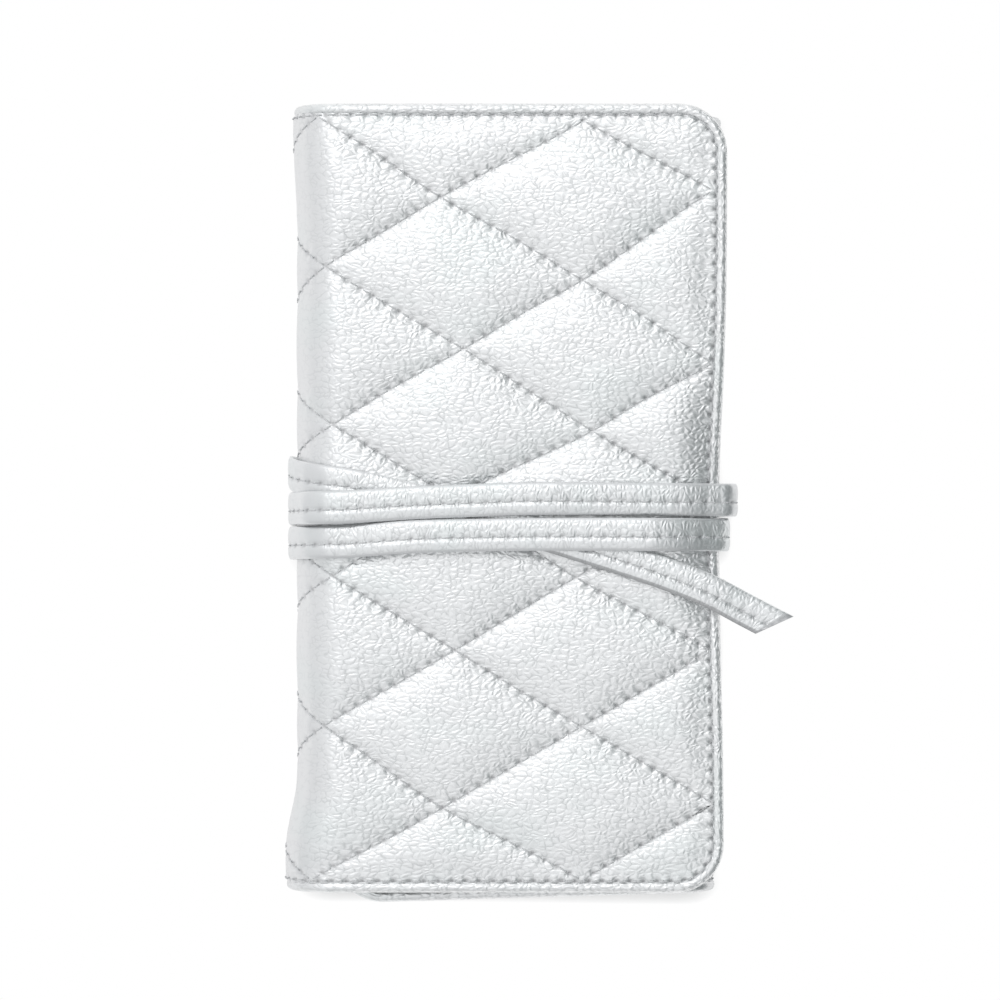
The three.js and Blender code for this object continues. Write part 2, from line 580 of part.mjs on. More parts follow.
const BAR_LOW_Y = RING_BAR_Y - RING_BAR_WIDTH / 2;
const BAR_HIGH_Y = RING_BAR_Y + RING_BAR_WIDTH / 2;
const TAB_Z = POCKET_TOP + LAYER_GAP;
const sewnTab = boxBetween(
  [BAR_RIGHT + LAYER_GAP, BAR_LOW_Y, TAB_Z],
  [POCKET_RIGHT, BAR_HIGH_Y, TAB_Z + TAB_THICKNESS],
);
addPiece("ring_bar_tab", sewnTab, LINING_FINISH);

const SOCKET_Z = TAB_Z + STUD_BASE + LAYER_GAP;
const END_TAB_Z = SOCKET_Z + SOCKET_HEIGHT + LAYER_GAP;
const CAP_Z = END_TAB_Z + TAB_THICKNESS + LAYER_GAP;
const endTab = boxBetween(
  [BAR_LEFT - LAYER_GAP - END_TAB_LENGTH, BAR_LOW_Y, END_TAB_Z],
  [BAR_LEFT - LAYER_GAP, BAR_HIGH_Y, END_TAB_Z + TAB_THICKNESS],
);
addPiece("ring_bar_end_tab", endTab, LINING_FINISH);

function snapPiece(name, profile, z) {
  const points = profile.map(([radius, height]) => new THREE.Vector2(radius, height));
  const geometry = new THREE.LatheGeometry(points, 20);
  geometry.rotateX(Math.PI / 2);
  geometry.translate(SNAP_X, RING_BAR_Y, z);
  addPiece(name, geometry, METAL_FINISH);
}

const STUD_TOP = STUD_BASE + STUD_HEAD;
snapPiece(
  "snap_stud",
  [[0, 0], [SNAP_RADIUS, 0], [SNAP_RADIUS, STUD_BASE], [SNAP_HEAD_RADIUS, STUD_BASE],
    [SNAP_HEAD_RADIUS, STUD_TOP], [0, STUD_TOP]],
  TAB_Z,
);
const SOCKET_BORE = SNAP_HEAD_RADIUS + SNAP_PLAY;
snapPiece(
  "snap_socket",
  [[SOCKET_BORE, 0], [SNAP_RADIUS, 0], [SNAP_RADIUS, SOCKET_HEIGHT], [SOCKET_BORE, SOCKET_HEIGHT], [SOCKET_BORE, 0]],
  SOCKET_Z,
);
snapPiece(
  "snap_cap",
  [[0, 0], [SNAP_RADIUS, 0], [SNAP_RADIUS, CAP_HEIGHT / 2], [SNAP_RADIUS / 2, CAP_HEIGHT], [0, CAP_HEIGHT]],
  CAP_Z,
);

// Slip pocket under the top flap's lining: a panel whose mouth, with its hem, faces the left fold.
const SLIP_TOP = ROLL_HEIGHT - PANEL - LAYER_GAP;
const SLIP_RIGHT = RIGHT_EDGE - EDGE_WAIST - SLIP_FROM_EDGE;
const SLIP_MOUTH = SLIP_RIGHT - SLIP_WIDTH;
const slipPanel = boxBetween(
  [SLIP_MOUTH, -POCKET_LENGTH / 2, SLIP_TOP - POCKET_THICKNESS],
  [SLIP_RIGHT, POCKET_LENGTH / 2, SLIP_TOP],
);
addPiece("slip_pocket_panel", slipPanel, LINING_FINISH);
const slipHem = boxBetween(
  [SLIP_MOUTH - LAYER_GAP - SLIP_HEM, -POCKET_LENGTH / 2, SLIP_TOP - POCKET_THICKNESS],
  [SLIP_MOUTH - LAYER_GAP, POCKET_LENGTH / 2, SLIP_TOP],
);
addPiece("slip_pocket_hem", slipHem, LEATHER_FINISH);

// Tie strap: sewn at the middle of the back, twice round the roll, then its tail tucked under both front bands.
const SEAT = STRAP_SEAT_GAP + STRAP_THICKNESS / 2;
const OVER_TAIL = STRAP_THICKNESS + STRAP_OVERLAP_GAP;
const BACK_Z = STRAP_GROUND_GAP + STRAP_THICKNESS / 2;
const FLAP_EDGE = RIGHT_EDGE - EDGE_WAIST;
const LEFT_TURN = [232, 222, 202, 180, 162, 146, 128, 109];
const FRONT_X = [LEFT_X, -38, -30, -20, -10, 0, 10, 20, 30, 40, 50];
const EDGE_TURN = [90, 60, 30, 0];
const RIGHT_TURN = [0, -20, -36, -50];
const BACK_INSET = 6;
const route = [];

function onTurn(x, z, radius, degrees, y) {
  const angle = THREE.MathUtils.degToRad(degrees);
  route.push(new THREE.Vector3(x + radius * Math.cos(angle), y, z + radius * Math.sin(angle)));
}

// Round the left fold from the back to the front.
function roundLeft(yBack, yLeft, yFront, liftAt) {
  for (const degrees of LEFT_TURN) {
    const y = between([[-232, yBack], [-180, yLeft], [-90, yFront]], -degrees);
    onTurn(LEFT_X, LEFT_FOLD_RADIUS, LEFT_FOLD_RADIUS + SEAT + liftAt(degrees), degrees, y);
  }
}

function overFront(stations, yKeys, liftKeys) {
  for (const x of stations) {
    const lift = between(liftKeys, x);
    route.push(new THREE.Vector3(x, between(yKeys, x), ROLL_HEIGHT + SEAT + lift));
  }
}

// Over the flap's edge, down the right side and under, loose by the given slack.
function roundRight(y, slack) {
  const turn = FLAP_EDGE_ROUND;
  for (const degrees of EDGE_TURN) {
    onTurn(FLAP_EDGE - turn + slack, ROLL_HEIGHT - turn, turn + SEAT, degrees, y);
  }
  for (const degrees of RIGHT_TURN) {
    const ease = slack * (1 - degrees / RIGHT_TURN[RIGHT_TURN.length - 1]);
    onTurn(RIGHT_X + ease, RIGHT_FOLD_RADIUS, RIGHT_FOLD_RADIUS + SEAT, degrees, y);
  }
}

function acrossBack(fromX, fromY, toX, toY) {
  for (let i = 0; i < 5; i++) {
    const t = i / 4;
    route.push(new THREE.Vector3(fromX + (toX - fromX) * t, fromY + (toY - fromY) * t, BACK_Z));
  }
}

const BACK_LEFT_X = LEFT_X - BACK_INSET;
const BACK_RIGHT_X = RIGHT_X + BACK_INSET / 2;
const level = () => 0;
const rising = (degrees) => OVER_TAIL * clamp01((178 - degrees) / 16);
acrossBack(ANCHOR[0], ANCHOR[1], BACK_LEFT_X, BAND_LOWER_LEFT - 0.4);
roundLeft(BAND_LOWER_LEFT - 0.4, BAND_LOWER_LEFT, BAND_LOWER_LEFT + 0.6, level);
overFront(
  FRONT_X,
  [[LEFT_X, BAND_LOWER_LEFT + 0.6], ...BAND_LOWER_FRONT, [FLAP_EDGE, BAND_LOWER_RIGHT]],
  [[-46, 0], [-36, OVER_TAIL], [40, OVER_TAIL], [51, 0]],
);
roundRight(BAND_LOWER_RIGHT, 0);
acrossBack(BACK_RIGHT_X, BAND_LOWER_RIGHT, BACK_LEFT_X, BAND_UPPER_LEFT - 0.4);
roundLeft(BAND_UPPER_LEFT - 0.4, BAND_UPPER_LEFT, BAND_UPPER_LEFT + 0.6, rising);
overFront(
  FRONT_X,
  [[LEFT_X, BAND_UPPER_LEFT + 0.6], ...BAND_UPPER_FRONT, [FLAP_EDGE, BAND_UPPER_RIGHT]],
  [[12, OVER_TAIL], [30, 0]],
);
roundRight(BAND_UPPER_RIGHT, LOOSE_TURN);
acrossBack(BACK_RIGHT_X, BAND_UPPER_RIGHT, BACK_LEFT_X, TAIL_LEFT - 0.4);
roundLeft(TAIL_LEFT - 0.4, TAIL_LEFT, TAIL_FRONT[0][1], level);
overFront([...TAIL_FRONT, ...TAIL_END].map((key) => key[0]), [...TAIL_FRONT, ...TAIL_END], [[0, 0]]);

// A flat section carried along the route, thickness away from the roll and width across the run.
const half = STRAP_WIDTH / 2;
const thick = STRAP_THICKNESS / 2;
const SECTION = [
  [half - STRAP_BEVEL, -thick], [half, STRAP_BEVEL - thick], [half, thick - STRAP_BEVEL], [half - STRAP_BEVEL, thick],
  [STRAP_BEVEL - half, thick], [-half, thick - STRAP_BEVEL], [-half, STRAP_BEVEL - thick], [STRAP_BEVEL - half, -thick],
];

function strapRing(i) {
  const before = route[Math.max(0, i - 1)];
  const after = route[Math.min(route.length - 1, i + 1)];
  const run = after.clone().sub(before).normalize();
  const out = new THREE.Vector3(-run.z, 0, run.x).normalize();
  const across = out.clone().cross(run).normalize();
  const cut = i === route.length - 1 ? TIP_CUT / STRAP_WIDTH : 0;
  return SECTION.map(([w, t]) =>
    route[i].clone().addScaledVector(across, w).addScaledVector(out, t).addScaledVector(run, w * cut),
  );
}

const rings = route.map((_, i) => strapRing(i));
const sides = SECTION.length;
const strapFaces = [];
for (let j = 0; j + 1 < rings.length; j++) {
  for (let i = 0; i < sides; i++) {
    const [a, b] = [j * sides + i, j * sides + ((i + 1) % sides)];
    strapFaces.push([a, b, b + sides], [a, b + sides, a + sides]);
  }
}
const lastRing = (rings.length - 1) * sides;
for (let i = 1; i + 1 < sides; i++) {
  strapFaces.push([0, i + 1, i], [lastRing, lastRing + i, lastRing + i + 1]);
}

// The origin is under the middle of the roll itself, so the roll is centred before its strap is added.
const middle = new THREE.Box3().setFromObject(roll).getCenter(new THREE.Vector3());
roll.position.set(-middle.x, -middle.y, 0);
addPiece("tie_strap", facedOut(rings.flat().map((p) => p.toArray()), strapFaces), LEATHER_FINISH);

// The strap's length, and the least gap between two of its bands, on points along its surface.
const POINT_STEP = 1.5;
const SAME_BAND = 25;
const samples = [];
let strapLength = 0;
for (let j = 0; j + 1 < rings.length; j++) {
  const step = route[j].distanceTo(route[j + 1]);
  const parts = Math.ceil(step / POINT_STEP);
  for (let k = 0; k < parts; k++) {
    const t = k / parts;
    const ring = rings[j].map((p, i) => p.clone().lerp(rings[j + 1][i], t));
    samples.push({ at: strapLength + step * t, ring });
  }
  strapLength += step;
}
let leastGap = Infinity;
for (const a of samples) {
  for (const b of samples) {
    if (b.at - a.at < SAME_BAND) continue;
    if (a.ring[0].distanceTo(b.ring[0]) > 3 * STRAP_WIDTH) continue;
    for (const p of a.ring) {
      for (const q of b.ring) leastGap = Math.min(leastGap, p.distanceTo(q));
    }
  }
}
console.log(`tie strap: ${strapLength.toFixed(0)} mm long, least gap to itself ${leastGap.toFixed(2)} mm`);

const part = new THREE.Group();
part.add(roll);
export default part;
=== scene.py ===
import math

import bmesh
import bpy
import numpy as np
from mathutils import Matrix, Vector, kdtree


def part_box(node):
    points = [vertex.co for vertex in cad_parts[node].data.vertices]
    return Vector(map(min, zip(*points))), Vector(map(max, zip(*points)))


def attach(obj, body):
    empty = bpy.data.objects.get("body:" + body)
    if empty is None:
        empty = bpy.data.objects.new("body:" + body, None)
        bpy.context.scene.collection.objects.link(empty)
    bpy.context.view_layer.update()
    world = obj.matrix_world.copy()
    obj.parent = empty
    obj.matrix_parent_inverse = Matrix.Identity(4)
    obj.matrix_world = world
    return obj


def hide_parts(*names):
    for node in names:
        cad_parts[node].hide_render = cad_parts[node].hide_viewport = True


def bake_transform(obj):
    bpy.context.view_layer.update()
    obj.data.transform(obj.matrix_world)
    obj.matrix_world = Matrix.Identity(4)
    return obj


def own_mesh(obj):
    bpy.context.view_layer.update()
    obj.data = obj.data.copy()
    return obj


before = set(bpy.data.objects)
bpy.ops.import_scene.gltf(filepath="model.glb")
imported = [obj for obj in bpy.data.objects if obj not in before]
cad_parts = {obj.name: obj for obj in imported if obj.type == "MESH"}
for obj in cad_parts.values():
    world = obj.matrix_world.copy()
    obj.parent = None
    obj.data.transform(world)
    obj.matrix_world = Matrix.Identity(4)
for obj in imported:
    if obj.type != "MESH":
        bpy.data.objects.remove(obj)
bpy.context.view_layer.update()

# Studio: a white table in soft light from above and behind, with a darker room to the right and in front.
# The camera looks straight down from a little over a metre, as in the photograph.
scene = bpy.context.scene
scene.view_settings.view_transform = "Standard"
CAMERA_PLACE, CAMERA_LENS, CAMERA_SENSOR = (-0.00366, 0.00076, 1.128), 136.8, 36.0
TABLE_HALF, TABLE_DROP = 3.0, 0.0003
TABLE_SHADOW, SHADOW_REACH, SHADOW_FROM = 0.6, 0.006, 0.6
SHADOW_WAY = (-0.1, 0.84, 0.533)
ROOM_TONES = {
    "X": [
        (0.0, 0.84), (0.25, 0.88), (0.40, 0.94), (0.48, 1.0), (0.55, 1.0), (0.64, 0.82), (0.76, 0.38),
        (0.88, 0.2), (1.0, 0.18),
    ],
    "Y": [(0.0, 0.58), (0.2, 0.75), (0.36, 0.92), (0.5, 0.98), (0.7, 1.0), (1.0, 0.95)],
}
DARK_WALL, DARK_WALL_RED = 0.5, 0.92
WINDOW_PLACE, WINDOW_SIZE, WINDOW_POWER = Vector((-0.3, 0.95, 1.6)), 1.2, 3.2


def in_scene(name, data):
    """A new object at the origin that holds a mesh, a camera or a light."""
    thing = bpy.data.objects.new(name, data)
    scene.collection.objects.link(thing)
    return thing


def finished(bm, name):
    """The mesh of a bmesh that is done."""
    mesh = bpy.data.meshes.new(name)
    bm.to_mesh(mesh)
    bm.free()
    return mesh


def feed(tree, node, values):
    """Sets inputs of a node, by name or number. An output is linked, and anything else is a constant."""
    for name, value in values.items():
        if isinstance(value, bpy.types.NodeSocket):
            tree.links.new(value, node.inputs[name])
        else:
            node.inputs[name].default_value = value


def add(tree, kind, values, **settings):
    """A new shader node, with its settings and its inputs' values."""
    node = tree.nodes.new(f"ShaderNode{kind}")
    for name, value in settings.items():
        setattr(node, name, value)
    feed(tree, node, values)
    return node


def wire(tree, kind, output, values, **settings):
    """One output of a new shader node."""
    return add(tree, kind, values, **settings).outputs[output]


def maths(tree, operation, *values, clamp=False):
    return wire(tree, "Math", 0, dict(enumerate(values)), operation=operation, use_clamp=clamp)


def ranged(tree, value, low, high, to_low, to_high, kind="LINEAR"):
    """A value carried over from one range to another, and held within it."""
    ends = {"From Min": low, "From Max": high, "To Min": to_low, "To Max": to_high}
    return wire(tree, "MapRange", "Result", {"Value": value, **ends}, interpolation_type=kind)


def mixed(tree, share, first, second, blend="MIX"):
    """A colour between two others, or their product where the blend is MULTIPLY."""
    inputs = {"Factor": share, "A": first, "B": second}
    return wire(tree, "Mix", "Result", inputs, data_type="RGBA", blend_type=blend)


def ramp(tree, share, stops):
    """A colour from a ramp through the stops, each a place and a colour."""
    node = add(tree, "ValToRGB", {"Fac": share})
    while len(node.color_ramp.elements) < len(stops):
        node.color_ramp.elements.new(0.5)
    for element, (place, colour) in zip(node.color_ramp.elements, stops):
        element.position, element.color = place, colour
    return node.outputs["Color"]


camera_data = bpy.data.cameras.new("camera")
camera_data.sensor_width = CAMERA_SENSOR
camera_data.lens = CAMERA_LENS
camera = in_scene("camera", camera_data)
camera.location = CAMERA_PLACE
scene.camera = camera

bm = bmesh.new()
bmesh.ops.create_grid(bm, x_segments=1, y_segments=1, size=TABLE_HALF)
bmesh.ops.translate(bm, verts=bm.verts, vec=(0, 0, -TABLE_DROP))
table = in_scene("table", finished(bm, "table"))

# The table is white to the camera and in reflections, apart from the shadow close under the roll.
table_white = bpy.data.materials.new("table_white")
table_white.use_nodes = True
tree = table_white.node_tree
tree.nodes.clear()
paper = wire(tree, "BsdfDiffuse", 0, {"Color": (0.92, 0.92, 0.92, 1)})
glow = wire(tree, "Emission", 0, {"Strength": 1.0})
rays = add(tree, "LightPath", {}).outputs
seen = maths(tree, "MAXIMUM", rays["Is Camera Ray"], rays["Is Glossy Ray"])
seen = maths(tree, "MAXIMUM", seen, rays["Is Transmission Ray"])
window_way = wire(tree, "CombineXYZ", 0, dict(zip("XYZ", SHADOW_WAY)))
nearby = {"Distance": SHADOW_REACH, "Normal": window_way}
unshaded = wire(tree, "AmbientOcclusion", "AO", nearby, samples=16)
share = maths(tree, "MULTIPLY", seen, ranged(tree, unshaded, SHADOW_FROM, 1, 1 - TABLE_SHADOW, 1))
white = wire(tree, "MixShader", 0, {"Fac": share, 1: paper, 2: glow})
add(tree, "OutputMaterial", {"Surface": white})
table.data.materials.append(table_white)

world = bpy.data.worlds.new("room")
scene.world = world
world.use_nodes = True
tree = world.node_tree
ways = add(tree, "SeparateXYZ", {0: wire(tree, "TexCoord", "Generated", {})}).outputs
walls = []
for axis, tones in ROOM_TONES.items():
    reds = [tone * (DARK_WALL_RED if tone < DARK_WALL else 1) for _, tone in tones]
    stops = [(place, (red, tone * 1.005, tone * 1.01, 1)) for red, (place, tone) in zip(reds, tones)]
    walls.append(ramp(tree, ranged(tree, ways[axis], -1, 1, 0, 1), stops))
room = mixed(tree, 1.0, *walls, blend="MULTIPLY")
feed(tree, tree.nodes["Background"], {"Color": room, "Strength": 1.0})

window_data = bpy.data.lights.new("window", "AREA")
window_data.size = WINDOW_SIZE
window_data.energy = WINDOW_POWER
window = in_scene("window", window_data)
window.location = WINDOW_PLACE
window.rotation_euler = (-WINDOW_PLACE).to_track_quat("-Z", "Y").to_euler()


# Tie strap: one long flat strip of the cover's silver leather, folded to two layers and sewn along a line
# just below its middle. It is sewn to the back and goes twice round the roll, and its tail is tucked under
# both bands. Sizes are in millimetres.
MM = 0.001
ROLL_CENTRE = np.array([-0.1835, 1.3372, 0.0])
ROLL_HEIGHT = 28.0
LEFT_X, LEFT_RADIUS = -48.5, 14.0
RIGHT_X, RIGHT_RADIUS = 51.0, 9.5
RIGHT_EDGE, DROOP, DROOP_WIDTH = 62.5, 5.0, 20.0
STRAP_WIDTH, STRAP_THICKNESS, STRAP_TIP_CUT = 9.6, 1.8, 7.5
STRAP_SEAT, STRAP_OVER_TAIL, STRAP_BACK_Z = 1.2, 2.3, 1.2
STRAP_LOOSE_TURN, STRAP_LEFT_SLACK = 2.3, 1.0
STRAP_RIGHT_REACH, STRAP_RIGHT_ROUND, STRAP_RIGHT_TILT = 62.7, 5.0, 25
STRAP_STEP, TAIL_STEPS, TIP_STEPS = 1.0, 130, 8
STRAP_STITCH, STRAP_SEAM, STRAP_UNSEWN_END = 4.0, -0.75, 6
STRAP_ROLL, ROLL_FROM, ROLL_OVER = math.radians(5), 20, 45
STRAP_HALF_POINTS = 27
RAW_EDGE_AND_SHADE_GREY, RAW_EDGE_FROM, RAW_EDGE_BLUR = 0.58, 3.65, 0.25
THREAD_LENGTH, THREAD_HEIGHT, THREAD_SUNK = 2.9, 0.42, 0.24
BAND_X = [LEFT_X, -38, -30, -20, -10, 0, 10, 20, 30, 40, 46, 50, 53.5, 56.5]
TAIL = [
    (-47.5, 3.9), (-30, -0.2), (-10, -5), (10, -10.6), (30, -16.9), (42, -20.9), (52, -24.7),
    (59, -27.8), (67, -32.1), (76, -36.8),
]


def strap_left_turn(y_back, y_left, y_front, lift):
    turn = np.array([232, 222, 202, 180, 162, 146, 128, 109])
    slack = STRAP_LEFT_SLACK * np.clip(1.6 * np.sin(np.radians(turn - 90)), 0, 1)
    reach = LEFT_RADIUS + STRAP_SEAT + slack + lift * np.clip((150 - turn) / 25, 0, 1)
    y = np.interp(-turn, [-232, -180, -90], [y_back, y_left, y_front])
    angle = np.radians(turn)
    return np.stack([LEFT_X + reach * np.cos(angle), y, LEFT_RADIUS + reach * np.sin(angle)], 1)


def strap_front(x, y_keys, lift_keys, drawn=1.0):
    y = np.interp(x, *zip(*y_keys))
    down = drawn * DROOP * np.clip(1 - (RIGHT_EDGE - np.array(x)) / DROOP_WIDTH, 0, 1.2) ** 2
    z = ROLL_HEIGHT + STRAP_SEAT - down + np.interp(x, *zip(*lift_keys))
    return np.stack([np.array(x, float), y, z], 1)


def strap_right_turn(y, slack):
    tilt = np.radians(np.linspace(STRAP_RIGHT_TILT, 85, 4))
    x = STRAP_RIGHT_REACH + slack + STRAP_RIGHT_ROUND * (np.sin(tilt) - 1)
    down = DROOP * (1 - (RIGHT_EDGE - x[0] + slack) / DROOP_WIDTH) ** 2
    z = ROLL_HEIGHT + STRAP_SEAT - down + STRAP_RIGHT_ROUND * (np.cos(tilt) - np.cos(tilt[0]))
    edge = np.stack([x, np.full(4, y), z], 1)
    turn = np.array([0, -20, -36, -50])
    under = np.radians(turn)
    reach = RIGHT_RADIUS + STRAP_SEAT
    x = RIGHT_X + slack * (1 - turn / turn[-1]) + reach * np.cos(under)
    side = np.stack([x, np.full(4, y), RIGHT_RADIUS + reach * np.sin(under)], 1)
    return np.concatenate([edge, side])


def strap_back(start, end):
    share = np.linspace(0, 1, 5)[:, None]
    flat = np.array(start) * (1 - share) + np.array(end) * share
    return np.column_stack([flat, np.full(5, STRAP_BACK_Z)])


strap_route = np.concatenate([
    strap_back((0, -17), (-54.5, -13.6)),
    strap_left_turn(-13.6, -13.2, -12.6, 0),
    strap_front(
        BAND_X,
        [(LEFT_X, -12.6), (-27, -11), (6, -10.4), (40, -10.5), (RIGHT_EDGE, -10.7)],
        [(-46, 0), (-36, STRAP_OVER_TAIL), (40, STRAP_OVER_TAIL), (57, 0)],
    ),
    strap_right_turn(-10.7, 0),
    strap_back((54, -10.7), (-54.5, -3.6)),
    strap_left_turn(-3.6, -3.2, -2.6, STRAP_OVER_TAIL),
    strap_front(
        BAND_X,
        [(LEFT_X, -2.6), (-27, -1.3), (6, -0.1), (40, -0.4), (RIGHT_EDGE, -0.6)],
        [(10, STRAP_OVER_TAIL), (46, 0)],
    ),
    strap_right_turn(-0.6, STRAP_LOOSE_TURN),
    strap_back((54, -0.6), (-54.5, 7.1)),
    strap_left_turn(7.1, 7.5, 3.9, 0),
    strap_front([x for x, _ in TAIL], TAIL, [(0, 0), (1, 0)], drawn=0.12),
])


def unit(ways):
    return ways / np.linalg.norm(ways, axis=1, keepdims=True)


def lengths_along(points):
    return np.concatenate([[0], np.cumsum(np.linalg.norm(np.diff(points, axis=0), axis=1))])


def eased(points, step):
    """A smooth line through the points, with a point about every step of its length."""
    before = np.concatenate([[2 * points[0] - points[1]], points, [2 * points[-1] - points[-2]]])
    runs = []
    for a, b, c, d in zip(before, before[1:], before[2:], before[3:]):
        t = np.linspace(0, 1, max(2, int(np.linalg.norm(c - b) / step) + 1), endpoint=False)[:, None]
        near, far = (c - a) / 2, (d - b) / 2
        limit = np.linalg.norm(c - b)
        near *= min(1, limit / np.linalg.norm(near))
        far *= min(1, limit / np.linalg.norm(far))
        runs.append(
            (2 * t**3 - 3 * t**2 + 1) * b + (t**3 - 2 * t**2 + t) * near
            + (3 * t**2 - 2 * t**3) * c + (t**3 - t**2) * far
        )
    return np.concatenate([*runs, points[-1:]])


def give_marks(mesh, lengths, marks):
    """Gives a mesh its UV map of lengths, and named values at its points, for its material."""
    corners = np.empty(len(mesh.loops), int)
    mesh.loops.foreach_get("vertex_index", corners)
    layer = mesh.uv_layers.new(name="lengths")
    layer.data.foreach_set("uv", lengths[corners].ravel())
    for mark, values in marks.items():
        attribute = mesh.attributes.new(mark, "FLOAT", "POINT")
        attribute.data.foreach_set("value", values.astype(np.float32))


def surface(name, points, lengths, marks={}):
    """A closed piece from a grid of points, columns by rows, in metres, with a UV map of lengths along it.
    It is a tube: its last row joins its first, and its ends are filled. Marks are named values at the
    points."""
    columns, rows = points.shape[:2]
    bm = bmesh.new()
    bmesh.ops.create_grid(bm, x_segments=columns - 1, y_segments=rows - 1, size=1.0)
    mesh = bpy.data.meshes.new(name)
    bm.to_mesh(mesh)
    mesh.vertices.foreach_set("co", points.transpose(1, 0, 2).ravel())
    by_row = {mark: values.T.ravel() for mark, values in marks.items()}
    give_marks(mesh, lengths.transpose(1, 0, 2).reshape(-1, 2), by_row)
    bm.clear()
    bm.from_mesh(mesh)
    for face in bm.faces:
        face.smooth = True
    bmesh.ops.remove_doubles(bm, verts=bm.verts, dist=1e-7)
    rims = [edge for edge in bm.edges if edge.is_boundary]
    for edge in rims:
        edge.smooth = False
    bmesh.ops.holes_fill(bm, edges=rims, sides=0)
    bmesh.ops.recalc_face_normals(bm, faces=bm.faces)
    bm.to_mesh(mesh)
    bm.free()
    return in_scene(name, mesh)


def stitching(name, centres, alongs, ups, length, width, height):
    """One piece of thread stitches: a drawn-out bead at each centre, along the seam and rising from it."""
    bm = bmesh.new()
    bmesh.ops.create_uvsphere(bm, u_segments=6, v_segments=5, radius=0.5)
    for face in bm.faces:
        face.smooth = True
    bead = bpy.data.meshes.new(name)
    bm.to_mesh(bead)
    shape = np.array([vertex.co for vertex in bead.vertices])
    for _ in centres[1:]:
        bm.from_mesh(bead)
    mesh = finished(bm, name)
    bpy.data.meshes.remove(bead)
    sides = np.cross(ups, alongs)
    frames = np.stack([alongs * (length * MM), sides * (width * MM), ups * (height * MM)], 1)
    mesh.vertices.foreach_set("co", (shape @ frames + centres[:, None]).ravel())
    return in_scene(name, mesh)


strap_line = eased(strap_route, STRAP_STEP)
strap_run = unit(np.gradient(strap_line, axis=0))
strap_up = unit(np.stack([-strap_run[:, 2], np.zeros(len(strap_run)), strap_run[:, 0]], 1))
strap_across = np.cross(strap_up, strap_run)
on_tail = np.arange(len(strap_line)) > len(strap_line) - TAIL_STEPS
roll = (STRAP_ROLL * on_tail * np.clip((strap_line[:, 0] - ROLL_FROM) / ROLL_OVER, 0, 1))[:, None]
strap_up, strap_across = (
    strap_up * np.cos(roll) + strap_across * np.sin(roll),
    strap_across * np.cos(roll) - strap_up * np.sin(roll),
)
strap_at = lengths_along(strap_line)

# Half of the section, from one rounded edge to the other, then the other half back.
half_width = STRAP_WIDTH / 2
over = half_width * np.sin(np.linspace(-np.pi / 2, np.pi / 2, STRAP_HALF_POINTS))
section_w = np.concatenate([over, over[-2:0:-1], over[:1]])
section_side = np.concatenate([np.ones(STRAP_HALF_POINTS), -np.ones(STRAP_HALF_POINTS - 2), np.ones(1)])
fullness = (1 - np.abs(section_w / half_width) ** 4.2) ** 0.55
section_t = section_side * STRAP_THICKNESS / 2 * fullness

# The seam draws the leather in, most at its needle holes, with short ticks beside them.
sewn_in = np.exp(-(((section_w - STRAP_SEAM) / 0.55) ** 2))
needle = np.exp(-((((strap_at / STRAP_STITCH) % 1 - 0.5) * STRAP_STITCH / 0.8) ** 2))[:, None]
tick = np.exp(-np.abs(section_w - STRAP_SEAM - 0.9) / 0.9)
tick = tick * np.clip(1 - (np.abs(section_w) - 3.2) / 0.8, 0, 1)
strap_t = section_t - section_side * (sewn_in * (0.3 + 0.2 * needle) + 0.3 * tick * needle)

# Grey along the tail's lower side and at its cut end: the leather's raw edge, and partly painted shade there.
raw_edge_and_shade = np.clip((-section_w - RAW_EDGE_FROM) / RAW_EDGE_BLUR, 0, 1) * on_tail[:, None]
raw_edge_and_shade[-2:] = 1.0
# The needle mark carries painted shade at the seam's holes and the grey of the raw edge.
strap_hole_shade_and_raw_edge = np.maximum(sewn_in * needle**2, RAW_EDGE_AND_SHADE_GREY * raw_edge_and_shade)

# It is smooth and painted greyer at its edges, below its seam, and where it is stretched round the two sides
# of the roll; the grey is painted shade.
strap_edges = np.clip((np.abs(section_w) - 3.8) / 0.4, 0, 1)
lower_strip = 0.45 * (section_w < STRAP_SEAM - 0.5)
round_left = np.clip((-51.0 - strap_line[:, :1]) / 4, 0, 1)
round_right = np.clip((strap_line[:, :1] - 61) / 1.5, 0, 1)
strap_taut_and_shade = np.maximum(np.maximum(strap_edges, lower_strip), np.maximum(round_left, round_right))
strap_taut_and_shade[on_tail] = np.minimum(strap_taut_and_shade[on_tail], 0.3)

strap_skew = np.zeros(len(strap_line))
strap_skew[-TIP_STEPS:] = np.linspace(0, 1, TIP_STEPS) * STRAP_TIP_CUT / STRAP_WIDTH
strap_points = (
    strap_line[:, None]
    + strap_across[:, None] * section_w[:, None]
    + strap_up[:, None] * strap_t[..., None]
    + strap_run[:, None] * (section_w * strap_skew[:, None])[..., None]
)
around = np.concatenate([[0], np.cumsum(np.hypot(np.diff(section_w), np.diff(section_t)))])
strap_lengths = np.stack(np.broadcast_arrays(strap_at[:, None], around), -1)
tie_strap = surface(
    "tie_strap_leather", (strap_points + ROLL_CENTRE) * MM, strap_lengths * MM,
    marks={"needle": strap_hole_shade_and_raw_edge, "taut_and_shade": strap_taut_and_shade},
)

